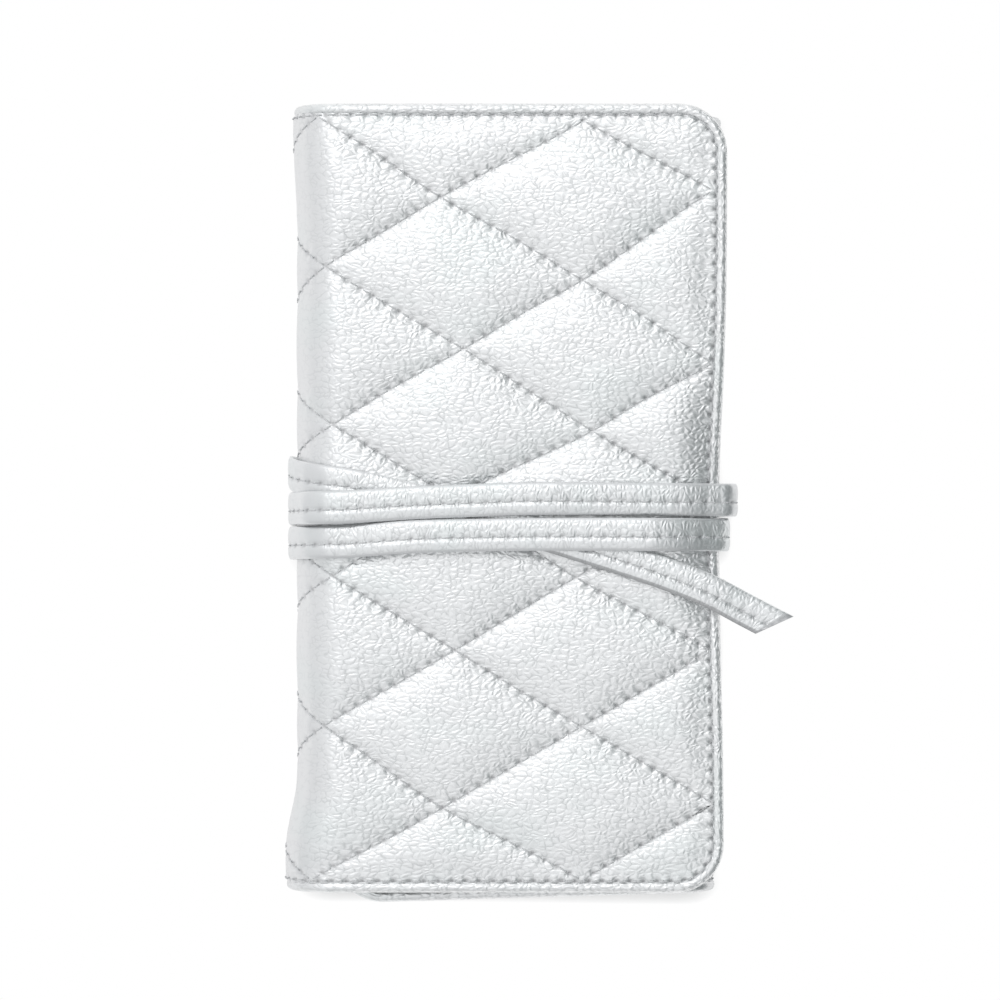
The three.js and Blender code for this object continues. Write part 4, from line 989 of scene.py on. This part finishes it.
# Lining: soft pale grey suedette over the inside of every panel, cut to lie inside the turned rim.
# It is sewn in with the edge seam, whose stitches show on it.
LINING_INSET, LINING_OUT, LINING_FACE = 2.3, 4.75, 5.75
LINING_STEP, LINING_ROWS = 1.5, 150
LINED = {
    "top_flap": ["top_flap_lining"],
    "left_back": ["left_spine_lining"],
    "right_back": ["back_lining"],
    "inner_flap": ["inner_flap_lining", "right_spine_lining"],
}


def suedette(name, tone):
    """Brushed suedette: matt, with a soft sheen and the mottling of its nap."""
    material, tree, cloth_face = new_finish(name)
    place = wire(tree, "TexCoord", "Object", {})
    brushed = noise(tree, place, 110.0, detail=8.0, roughness=0.72)
    dark, light = (*(c * 0.88 for c in tone), 1), (*tone, 1)
    feed(tree, cloth_face, {
        "Base Color": ramp(tree, brushed, [(0.3, dark), (0.7, light)]),
        "Roughness": 0.92,
        "Sheen Weight": 0.25,
        "Normal": bumped(tree, noise(tree, place, 3200.0), 0.00012),
    })
    return material


def cloth(name, top, under, flat):
    """A closed thin sheet from the places of its two faces, columns by rows, with its flat lengths in
    millimetres."""
    places = np.concatenate([top, under[:, ::-1], top[:, :1]], 1)
    lengths = np.concatenate([flat, flat[:, ::-1], flat[:, :1]], 1)
    return surface(name, places, lengths * MM)


lining_suedette = suedette("lining_suedette", (0.79, 0.78, 0.77))
half_lining = HALF_LENGTH - LINING_INSET
for stretch, (start, end, *_) in STRETCHES.items():
    share = np.linspace(0, 1, int((end - start) / LINING_STEP))[:, None]
    y = np.linspace(-1, 1, LINING_ROWS)[None, :] * half_lining
    low, high = start + 0 * y, end - 0 * y
    if start == 0:
        low = low + set_back(y, LINING_INSET, FLAP_CORNER) + edge_waist(y)
    if end == COVER_END:
        high = high - set_back(y, LINING_INSET, INNER_CORNER)
    along = low + (high - low) * share
    y = np.broadcast_to(y, along.shape)
    free = np.minimum(half_lining - np.abs(y), 9)
    if start == 0:
        free = np.minimum(free, along - low)
    if end == COVER_END:
        free = np.minimum(free, high - along)
    near_edge = np.minimum(free, 1)
    ripple = 0.12 * np.abs(np.sin(along / 9 + 2 * np.sin(y / 13)) * np.sin(y / 11)) * near_edge
    depth = LINING_OUT + (LINING_FACE - LINING_OUT) * (1 - np.exp(-free / 0.5)) - ripple
    under = on_cover(along, y, LINING_OUT - 0.05 * near_edge)
    lining = cloth(f"{stretch}_suedette", on_cover(along, y, depth), under, np.stack([along, y], -1))
    lining.data.materials.append(lining_suedette)
    bend(lining)
    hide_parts(*LINED[stretch])

    mine = (edge_stitches[:, 0] > start) & (edge_stitches[:, 0] <= end)
    along, y, run_s, run_y = edge_stitches[mine].T
    centres = on_cover(along, y, np.full(along.shape, LINING_FACE - 0.08))
    ahead, up = stitch_ways(along, y, run_s, run_y, LINING_FACE, 1, 1)
    edge_thread = stitching(f"{stretch}_lining_thread", centres, ahead, up, THREAD_LENGTH, 0.5, 0.4)
    edge_thread.data.materials.append(silver_thread)
    bend(edge_thread)


# Zip tapes: two polyester tapes woven in a fine rib. The left one is sewn to the lining in two rows, the
# right one under the pocket's lip, and each carries one half of the zip's coil, sewn along its inner edge.
TAPE_STEP, TAPE_END, COIL_ROW, COIL_ROW_GAP, TAPE_ROWS = 1.6, 3, 2.6, 0.9, (1.6, 4.2)


def within(node):
    """The lowest and highest corner of a CAD node, in millimetres."""
    return [np.array(corner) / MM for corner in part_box(node)]


def in_frame(x, y, z):
    return np.stack(np.broadcast_arrays(x, y, z), -1) * MM


def sewn_lines(name, lines, up, pitch=3.2, length=2.5, width=0.5):
    """Thread stitches along lines of places in metres, on a face that looks the way given."""
    runs = [unit(np.gradient(line, axis=0)) for line in lines]
    found = [spaced(line, run, pitch * MM, pitch / 2 * MM) for line, run in zip(lines, runs)]
    found = np.concatenate(found)
    ups = np.broadcast_to(np.array(up, float), (len(found), 3))
    return stitching(name, found[:, :3], found[:, 3:], ups, length, width, 0.7 * width)


def sheet_steps(width, step):
    """Places across a sheet, close together at its two edges, which are round."""
    edge = np.array([0.0, 0.04, 0.15, 0.4])
    middle = np.linspace(0.9, width - 0.9, max(2, int(width / step)))
    return np.concatenate([edge, middle, width - edge[::-1]])


def laid_sheet(name, low, high, step, lie=None, place=in_frame):
    """A sheet that fills a box in millimetres, with round edges. Lie says how far above the box it lies."""
    half = (high[2] - low[2]) / 2
    steps_x, steps_y = (low[k] + sheet_steps(high[k] - low[k], step) for k in (0, 1))
    y, x = np.meshgrid(steps_y, steps_x, indexing="ij")
    free = np.minimum(np.minimum(x - low[0], high[0] - x), np.minimum(y - low[1], high[1] - y))
    rise = half * np.sqrt(1 - (1 - np.clip(free / half, 0, 1)) ** 2)
    middle = low[2] + half + (lie(x, y) if lie else 0 * x)
    return cloth(name, place(x, y, middle + rise), place(x, y, middle - rise), np.stack([y, x], -1))


def rib_weave(name, tone, rib):
    """Ribbed weave of a narrow tape: warp and weft bands at the rib's spacing, in metres, on a UV map of
    lengths."""
    material, tree, tape_face = new_finish(name)
    lengths = wire(tree, "UVMap", "UV", {}, uv_map="lengths")
    bands = []
    for way, spacing in (("X", rib), ("Y", rib * 0.6)):
        inputs = {"Vector": lengths, "Scale": math.pi / 10 / spacing, "Distortion": 0.6}
        bands.append(wire(tree, "TexWave", "Fac", inputs, bands_direction=way))
    woven = maths(tree, "MULTIPLY", *bands)
    dark, light = (*[tone * 0.72] * 3, 1), (*[tone * 1.04] * 3, 1)
    feed(tree, tape_face, {
        "Base Color": ramp(tree, woven, [(0.0, dark), (0.7, light)]),
        "Roughness": 0.85,
        "Sheen Weight": 0.1,
        "Normal": bumped(tree, woven, 0.00012),
    })
    return material


zip_weave = rib_weave("zip_weave", 0.73, 0.0008)
grey_thread = spun_thread("grey_thread", 0.7)
for side, outer in (("left", 1), ("right", -1)):
    low, high = within(f"zip_tape_{side}")
    tape = laid_sheet(f"zip_tape_{side}_weave", low, high, TAPE_STEP)
    tape.data.materials.append(zip_weave)
    inner_x = high[0] - COIL_ROW if outer > 0 else low[0] + COIL_ROW
    rows = [inner_x, inner_x - outer * COIL_ROW_GAP]
    rows += [low[0] + row for row in TAPE_ROWS] if outer > 0 else []
    y = np.linspace(low[1] + TAPE_END, high[1] - TAPE_END, 40)
    lines = [in_frame(x, y, high[2]) for x in rows]
    sewing = sewn_lines(f"zip_tape_{side}_thread", lines, (0, 0, 1), pitch=2.6, length=2.0, width=0.42)
    sewing.data.materials.append(grey_thread)
    for piece in (tape, sewing):
        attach(piece, "back")
    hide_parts(f"zip_tape_{side}")


# Zip coils: a nylon thread wound into a flat coil for each tape, and sewn to the tape's inner edge.
# The closed coils' loops lie in each other's gaps.
COIL_PITCH, COIL_WIRE, COIL_MESH, COIL_STEPS = 1.4, 0.3, 0.36, 12


def swept(name, path, ups, wide, high, sides):
    """A bar of oval section along a path in millimetres."""
    run = unit(np.gradient(path, axis=0))
    across = unit(np.cross(run, ups))
    rise = np.cross(across, run)
    around = np.linspace(0, 2 * np.pi, sides + 1)
    points = path[:, None] + across[:, None] * (wide * np.cos(around))[:, None]
    points = points + rise[:, None] * (high * np.sin(around))[:, None]
    lengths = np.stack(np.broadcast_arrays(lengths_along(path)[:, None], around * wide), -1)
    return surface(name, points * MM, lengths * MM)


coil_nylon, tree, nylon = new_finish("coil_nylon")
drawn = noise(tree, wire(tree, "TexCoord", "Object", {}), 700.0)
feed(tree, nylon, {
    "Base Color": ramp(tree, drawn, [(0.3, (0.64, 0.64, 0.64, 1)), (0.7, (0.72, 0.72, 0.72, 1))]),
    "Roughness": 0.38,
})
for side, inward, phase in (("left", 1, 0.0), ("right", -1, 0.5)):
    low, high = within(f"zip_coil_{side}")
    turn = np.arange(0, (high[1] - low[1] - 2 * COIL_WIRE) / COIL_PITCH, 1 / COIL_STEPS)
    angle = 2 * np.pi * (turn + phase)
    middle = (low + high) / 2
    reach = np.array([(high[0] - low[0] + COIL_MESH) / 2, 0, (high[2] - low[2]) / 2]) - COIL_WIRE
    radial = np.stack([np.cos(angle), 0 * angle, np.sin(angle)], 1)
    path = np.array([middle[0] + inward * COIL_MESH / 2, 0, middle[2]]) + radial * reach * (1, 0, 1)
    path[:, 1] = low[1] + COIL_WIRE + turn * COIL_PITCH
    coil = swept(f"zip_coil_{side}_wire", path, radial, COIL_WIRE, COIL_WIRE, 6)
    coil.data.materials.append(coil_nylon)
    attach(coil, "back")
    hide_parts(f"zip_coil_{side}")


# Zip stops: a small clip of nickel-plated sheet at each end of the coils, which keeps the slider on them.
# It is bent over both tapes and crimped in the middle.
STOP_CRIMP, STOP_CRIMP_DEPTH, STOP_ROUND = 0.7, 0.25, 0.16


def polished_nickel(name):
    """Nickel plate: bright, with faint smears and fine scratches that dull it here and there."""
    material, tree, plate = new_finish(name)
    place = wire(tree, "TexCoord", "Object", {})
    smear = noise(tree, place, 260.0, detail=5.0)
    feed(tree, plate, {
        "Base Color": ramp(tree, smear, [(0.3, (0.72, 0.72, 0.71, 1)), (0.7, (0.8, 0.8, 0.79, 1))]),
        "Roughness": ranged(tree, smear, 0.35, 0.65, 0.14, 0.3),
        "Metallic": 1.0,
        "Normal": bumped(tree, noise(tree, place, 2400.0), 0.000008),
    })
    return material


nickel = polished_nickel("nickel")
for end in ("top", "bottom"):
    low, high = within(f"zip_{end}_stop")
    bm = bmesh.new()
    bmesh.ops.create_cube(bm, size=1.0)
    bmesh.ops.scale(bm, verts=bm.verts, vec=(high - low) * MM)
    bmesh.ops.translate(bm, verts=bm.verts, vec=(low + high) / 2 * MM)
    crown = [face for face in bm.faces if face.normal.z > 0.9]
    bmesh.ops.inset_region(bm, faces=crown, thickness=STOP_CRIMP * MM, depth=-STOP_CRIMP_DEPTH * MM)
    bmesh.ops.bevel(
        bm, geom=bm.edges, offset=STOP_ROUND * MM, offset_type="OFFSET", segments=3, profile=0.5,
        affect="EDGES", clamp_overlap=True, material=-1,
    )
    for face in bm.faces:
        face.smooth = True
    name = f"zip_{end}_stop_clip"
    clip = in_scene(name, finished(bm, name))
    clip.data.materials.append(nickel)
    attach(clip, "back")
    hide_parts(f"zip_{end}_stop")


# Zip slider: a cast and plated channel over both coils, wider at its leading end.
# A bail bridges its back, and holds the pull.
SLIDER_WALL, SLIDER_PLATE, SLIDER_TOP, SLIDER_ROUND, SLIDER_TAPER = 0.9, 0.8, 9.3, 0.9, 0.16
SLIDER_CHAMFER, SLIDER_END_ROUND, SLIDER_ROUND_POINTS = 0.15, 0.5, 6
BAIL_HALF_LENGTH, BAIL_HALF_WIDTH, BAIL_WIRE, BAIL_FOOT, BAIL_POINTS = 3.0, 1.0, 0.7, 0.3, 25
low, high = within("zip_slider")
slider_middle = (low + high) / 2
half = (high[0] - low[0]) / 2
turn = np.radians(np.linspace(0, 90, SLIDER_ROUND_POINTS))
wall_x, foot = half - SLIDER_WALL, low[2]
right = np.concatenate([
    [[wall_x, SLIDER_TOP - SLIDER_PLATE], [wall_x, foot + SLIDER_CHAMFER], [wall_x + SLIDER_CHAMFER, foot]],
    [[half - SLIDER_CHAMFER, foot], [half, foot + SLIDER_CHAMFER]],
    np.stack([
        half - SLIDER_ROUND + SLIDER_ROUND * np.cos(turn), SLIDER_TOP - SLIDER_ROUND * (1 - np.sin(turn)),
    ], 1),
])
section = np.concatenate([right, right[::-1] * (-1, 1), right[:1]])
outside = np.concatenate([[0, 0, 0, 1, 1], np.ones(SLIDER_ROUND_POINTS)])
outside = np.concatenate([outside, outside[::-1], outside[:1]])
ends = np.array([0.0, 0.08, 0.25, 0.5])
length = high[1] - low[1]
at = np.concatenate([ends, np.linspace(1.2, length - 1.2, 14), length - ends[::-1]])
from_end = np.clip(np.minimum(at, length - at) / SLIDER_END_ROUND, 0, 1)
inset = SLIDER_END_ROUND * (1 - np.sqrt(1 - (1 - from_end) ** 2))[:, None] * outside
share = (1 - SLIDER_TAPER * eased_step(length - at, 2.0, 8.0))[:, None]
x = slider_middle[0] + section[:, 0] * share - np.sign(section[:, 0]) * inset
z = section[:, 1] - inset * (section[:, 1] > SLIDER_TOP - SLIDER_ROUND)
y = np.broadcast_to(low[1] + at[:, None], x.shape)
slider = surface("zip_slider_body", in_frame(x, y, z), np.stack([x, y], -1) * MM)
turn = np.radians(np.linspace(-90, 90, BAIL_POINTS))
bail_reach = BAIL_HALF_LENGTH - BAIL_WIRE / 2
bail_rise = high[2] - SLIDER_TOP - BAIL_WIRE / 2
arch = np.stack([
    np.full(BAIL_POINTS, slider_middle[0]),
    slider_middle[1] + bail_reach * squared(np.sin(turn), 0.5),
    SLIDER_TOP - BAIL_FOOT + (bail_rise + BAIL_FOOT) * np.abs(np.cos(turn)) ** 0.5,
], 1)
radial = np.stack([np.zeros(BAIL_POINTS), np.sin(turn), np.cos(turn)], 1)
bail = swept("zip_slider_bail", arch, radial, BAIL_HALF_WIDTH, BAIL_WIRE / 2, 14)
for piece in (slider, bail):
    piece.data.materials.append(nickel)
    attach(piece, "zip_slider")
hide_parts("zip_slider")


# Zip pull: a stamped and plated tongue with a round end and a square eye.
# The bar beyond the eye passes under the slider's bail.
EYE_HALF, EYE_NEAR, EYE_FAR = 1.3, -0.4, -3.3
PULL_ROUND, PULL_CORNER, PULL_RIM, EYE_RIM = 0.14, 0.5, -0.5, 0.3
low, high = within("zip_pull")
half = (high[0] - low[0]) / 2
eye_middle = np.array([slider_middle[0], slider_middle[1] + (EYE_NEAR + EYE_FAR) / 2])


def looped(corners, angles):
    """How far a closed outline lies from the eye's middle, at each angle."""
    sides = zip(corners, np.roll(corners, -1, axis=0))
    points = np.concatenate([np.linspace(*side, 24, endpoint=False) for side in sides]) - eye_middle
    seen = np.arctan2(points[:, 1], points[:, 0])
    order = np.argsort(seen)
    return np.interp(angles, seen[order], np.hypot(*points[order].T), period=2 * np.pi)


round_end = np.radians(np.linspace(0, -180, 25))
left, right = eye_middle[0] - half, eye_middle[0] + half
tongue = np.concatenate([
    [[right - PULL_CORNER, high[1]], [right, high[1] - PULL_CORNER]],
    np.stack([eye_middle[0] + half * np.cos(round_end), low[1] + half + half * np.sin(round_end)], 1),
    [[left, high[1] - PULL_CORNER], [left + PULL_CORNER, high[1]]],
])
eye = slider_middle[:2] + np.array([
    [EYE_HALF, EYE_NEAR], [EYE_HALF, EYE_FAR], [-EYE_HALF, EYE_FAR], [-EYE_HALF, EYE_NEAR],
])
angles = np.linspace(-np.pi, np.pi, 97)
outer, inner = looped(tongue, angles), looped(eye, angles)
thick = high[2] - low[2]
# The tongue's section, from its upper face round its outside, under it, and up through the eye.
profile = [
    (outer, PULL_RIM, thick), (outer, -PULL_ROUND, thick), (outer, 0, thick - PULL_ROUND),
    (outer, 0, PULL_ROUND), (outer, -PULL_ROUND, 0), (outer, PULL_RIM, 0),
    (inner, EYE_RIM, 0), (inner, PULL_ROUND, 0), (inner, 0, PULL_ROUND),
    (inner, 0, thick - PULL_ROUND), (inner, PULL_ROUND, thick), (inner, EYE_RIM, thick),
    (outer, PULL_RIM, thick),
]
places = np.stack([
    in_frame(
        eye_middle[0] + (edge + more) * np.cos(angles), eye_middle[1] + (edge + more) * np.sin(angles),
        low[2] + rise,
    )
    for edge, more, rise in profile
], 1)
pull = surface("zip_pull_tongue", places, places[..., :2])
pull.data.materials.append(nickel)
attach(pull, "zip_pull")
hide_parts("zip_pull")


# Zip pocket: a panel of suedette over most of the back's lining, sewn down on three sides. Its fourth edge is
# turned under to a lip over the zip's right tape and sewn through it.
LIP_RISE, LIP_END = 0.9, -24.0
POCKET_THICKNESS, POCKET_STEP, POCKET_SEAM, LIP_SEAM = 0.8, 1.8, 2.2, 1.6
low, high = within("zip_pocket_panel")
pocket_low, pocket_high = low, np.array([high[0], high[1], low[2] + POCKET_THICKNESS])


def pocket_lie(x, y):
    """How the pocket rises to its lip, and is a little slack elsewhere."""
    slack = 0.1 * np.abs(np.sin(x / 7 + 1.5 * np.sin(y / 17)) * np.sin(y / 12))
    return LIP_RISE * eased_step(-x, -LIP_END - 1.5, -LIP_END + 1) - slack * eased_step(x, -20, -12)


pocket = laid_sheet("zip_pocket_suedette", pocket_low, pocket_high, POCKET_STEP, lie=pocket_lie)
pocket.data.materials.append(lining_suedette)
y = np.linspace(low[1] + 2, high[1] - 2, 90)
x = np.linspace(LIP_END + 3, high[0] - 2, 50)
pocket_top = pocket_high[2] - 0.04
lines = [in_frame(high[0] - POCKET_SEAM, y, pocket_top)]
lines += [in_frame(low[0] + LIP_SEAM, y, pocket_top + LIP_RISE)]
lines += [in_frame(x, end, pocket_top) for end in (low[1] + POCKET_SEAM, high[1] - POCKET_SEAM)]
pocket_thread = sewn_lines("zip_pocket_thread", lines, (0, 0, 1))
pocket_thread.data.materials.append(grey_thread)
for piece in (pocket, pocket_thread):
    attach(piece, "back")
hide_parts("zip_pocket_panel")


# Ring bar: a suedette sleeve stuffed with wadding, gathered at both ends, with its seam underneath. Its right
# end is held by a tab sewn to the pocket, and its left end by a tab that snaps to the pocket.
BAR_SQUARE, TAB_STEP, TAB_SEAM, END_TAB_SEAM = 0.8, 0.5, 1.0, 0.8
TAB_STITCH = {"pitch": 2.2, "length": 1.7, "width": 0.42}
low, high = within("ring_bar_sleeve")
bar_middle = (low + high) / 2
half_y, half_z = (high[1] - low[1]) / 2, (high[2] - low[2]) / 2
x = np.linspace(low[0], high[0], 90)
around = np.linspace(-np.pi / 2, 1.5 * np.pi, 73)
from_end = np.minimum(x - low[0], high[0] - x)[:, None]
full = 1 - 0.62 * np.exp(-from_end / 1.6) - 0.05 * np.exp(-(((x[:, None] - bar_middle[0]) / 9) ** 2))
gathers = 0.07 * np.cos(11 * around + 0.4) * np.exp(-from_end / 3.0)
gathers = gathers + 0.03 * np.cos(5 * around) * np.exp(-from_end / 7.0)
seam = 0.08 * sum(np.exp(-(((around - end) / 0.07) ** 2)) for end in (around[0], around[-1]))
reach = np.minimum(full + gathers - seam, 1.0)
y = bar_middle[1] + half_y * reach * squared(np.cos(around), BAR_SQUARE)
z = bar_middle[2] + half_z * reach * squared(np.sin(around), BAR_SQUARE)
lengths = np.stack(np.broadcast_arrays(x[:, None], around * 3.4), -1)
bar = surface("ring_bar_stuffed", in_frame(x[:, None], y, z), lengths * MM)
bar.data.materials.append(lining_suedette)
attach(bar, "ring_bar")
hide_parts("ring_bar_sleeve", "ring_bar_core")

low, high = within("ring_bar_tab")
tab = laid_sheet(
    "ring_bar_tab_suedette", low, high, TAB_STEP, lie=lambda x, y: 0.9 * np.exp(-(((x - low[0]) / 1.2) ** 2)),
)
x = np.linspace(low[0] + 2.6, high[0] - TAB_SEAM, 20)
y = np.linspace(low[1] + TAB_SEAM, high[1] - TAB_SEAM, 20)
lines = [in_frame(x, edge, high[2]) for edge in (y[0], y[-1])]
lines += [in_frame(edge, y, high[2]) for edge in (x[0], x[-1])]
tab_thread = sewn_lines("ring_bar_tab_thread", lines, (0, 0, 1), **TAB_STITCH)
end_low, end_high = within("ring_bar_end_tab")


def round_ended(x, y, z):
    """Places on the end tab, whose left end is drawn round."""
    off = np.clip(np.abs(y - bar_middle[1]) / half_y, 0, 0.999)
    drawn = half_y * (1 - np.sqrt(1 - off**2)) * (end_high[0] - x) / (end_high[0] - end_low[0])
    return in_frame(x + drawn, y, z)


end_tab = laid_sheet("ring_bar_end_tab_suedette", end_low, end_high, TAB_STEP, place=round_ended)
turn = np.radians(np.linspace(90, 270, 40))
seam_half = half_y - END_TAB_SEAM
tip_x = end_low[0] + half_y
lines = [in_frame(tip_x + seam_half * np.cos(turn), bar_middle[1] + seam_half * np.sin(turn), end_high[2])]
x = np.linspace(tip_x, end_high[0] - 0.6, 12)
lines += [in_frame(x, bar_middle[1] + side * seam_half, end_high[2]) for side in (1, -1)]
end_thread = sewn_lines("ring_bar_end_tab_thread", lines, (0, 0, 1), **TAB_STITCH)
for piece, body, finish in (
    (tab, "back", lining_suedette), (tab_thread, "back", grey_thread),
    (end_tab, "ring_bar", lining_suedette), (end_thread, "ring_bar", grey_thread),
):
    piece.data.materials.append(finish)
    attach(piece, body)
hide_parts("ring_bar_tab")
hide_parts("ring_bar_end_tab")


# Snap: a spring snap of nickel-plated brass, each part turned or pressed from sheet.
# The stud is set in the pocket, the socket and its cap in the end tab.
SNAP_PROFILES = {
    "snap_stud": ("back", [
        (0, 0), (3.7, 0), (3.95, 0.08), (4, 0.22), (3.9, 0.38), (3.5, 0.48), (2.2, 0.5), (1.7, 0.62),
        (1.5, 0.85), (1.5, 1.0), (1.68, 1.25), (1.7, 1.4), (1.55, 1.65), (1.1, 1.77), (0, 1.8),
    ]),
    "snap_socket": ("ring_bar", [
        (2.1, 0.2), (2.25, 0.05), (2.5, 0), (3.6, 0), (3.9, 0.1), (4, 0.3), (4, 1.0), (3.9, 1.2), (3.6, 1.3),
        (2.5, 1.3), (2.25, 1.25), (2.1, 1.1), (2.1, 0.2),
    ]),
    "snap_cap": ("ring_bar", [
        (0, 0), (3.7, 0), (3.95, 0.1), (4, 0.25), (3.9, 0.42), (3.5, 0.62), (2.8, 0.8), (1.8, 0.93),
        (0.8, 0.99), (0, 1.0),
    ]),
}
for node, (body, profile) in SNAP_PROFILES.items():
    low, high = within(node)
    middle = Vector((low + high) / 2 * MM)
    bm = bmesh.new()
    corners = [
        bm.verts.new((middle.x + radius * MM, middle.y, (low[2] + rise) * MM)) for radius, rise in profile
    ]
    ring = [bm.edges.new(pair) for pair in zip(corners, corners[1:])]
    bmesh.ops.spin(
        bm, geom=corners + ring, cent=middle, axis=(0, 0, 1), angle=2 * math.pi, steps=48, use_merge=True,
    )
    bmesh.ops.remove_doubles(bm, verts=bm.verts, dist=1e-6)
    bmesh.ops.recalc_face_normals(bm, faces=bm.faces)
    for face in bm.faces:
        face.smooth = True
    turned = in_scene(f"{node}_brass", finished(bm, f"{node}_brass"))
    turned.data.materials.append(nickel)
    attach(turned, body)
    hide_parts(node)


# Slip pocket: a panel of suedette sewn to the top flap's lining on three sides. Its mouth, towards the left
# fold, is bound with a strip of the cover's silver leather, folded over and sewn in one row.
HEM_STEP, HEM_SEAM = 0.7, 1.1


def on_flap(x, y, z):
    return on_cover(RIGHT_EDGE + ROLL_CENTRE[0] - x, y - ROLL_CENTRE[1], ROLL_HEIGHT - z)


def on_flap_face(x, y, z):
    return on_flap(*np.broadcast_arrays(x, y, z))


low, high = within("slip_pocket_panel")
slip = laid_sheet(
    "slip_pocket_suedette", low, high, POCKET_STEP, place=on_flap,
    lie=lambda x, y: 0.08 * np.abs(np.sin(x / 8 + 1.2 * np.sin(y / 15)) * np.sin(y / 13)),
)
slip.data.materials.append(lining_suedette)
y = np.linspace(low[1] + 2, high[1] - 2, 90)
x = np.linspace(low[0] + 2, high[0] - 2, 50)
lines = [on_flap_face(high[0] - POCKET_SEAM, y, low[2])]
lines += [on_flap_face(x, end, low[2]) for end in (low[1] + POCKET_SEAM, high[1] - POCKET_SEAM)]
slip_thread = sewn_lines("slip_pocket_thread", lines, (0, 0, -1))
slip_thread.data.materials.append(grey_thread)
hem_low, hem_high = within("slip_pocket_hem")
hem = laid_sheet("slip_pocket_binding", hem_low, hem_high, HEM_STEP, place=on_flap)
hem.data.materials.append(cover_leather)
lines = [on_flap_face(hem_high[0] - HEM_SEAM, y, hem_low[2])]
hem_thread = sewn_lines("slip_pocket_binding_thread", lines, (0, 0, -1))
hem_thread.data.materials.append(silver_thread)
for piece, slot in (
    (slip, "lining"), (slip_thread, "lining"), (hem, "quilted_leather"), (hem_thread, "quilted_leather"),
):
    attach(piece, "top_flap")
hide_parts("slip_pocket_panel")
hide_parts("slip_pocket_hem")
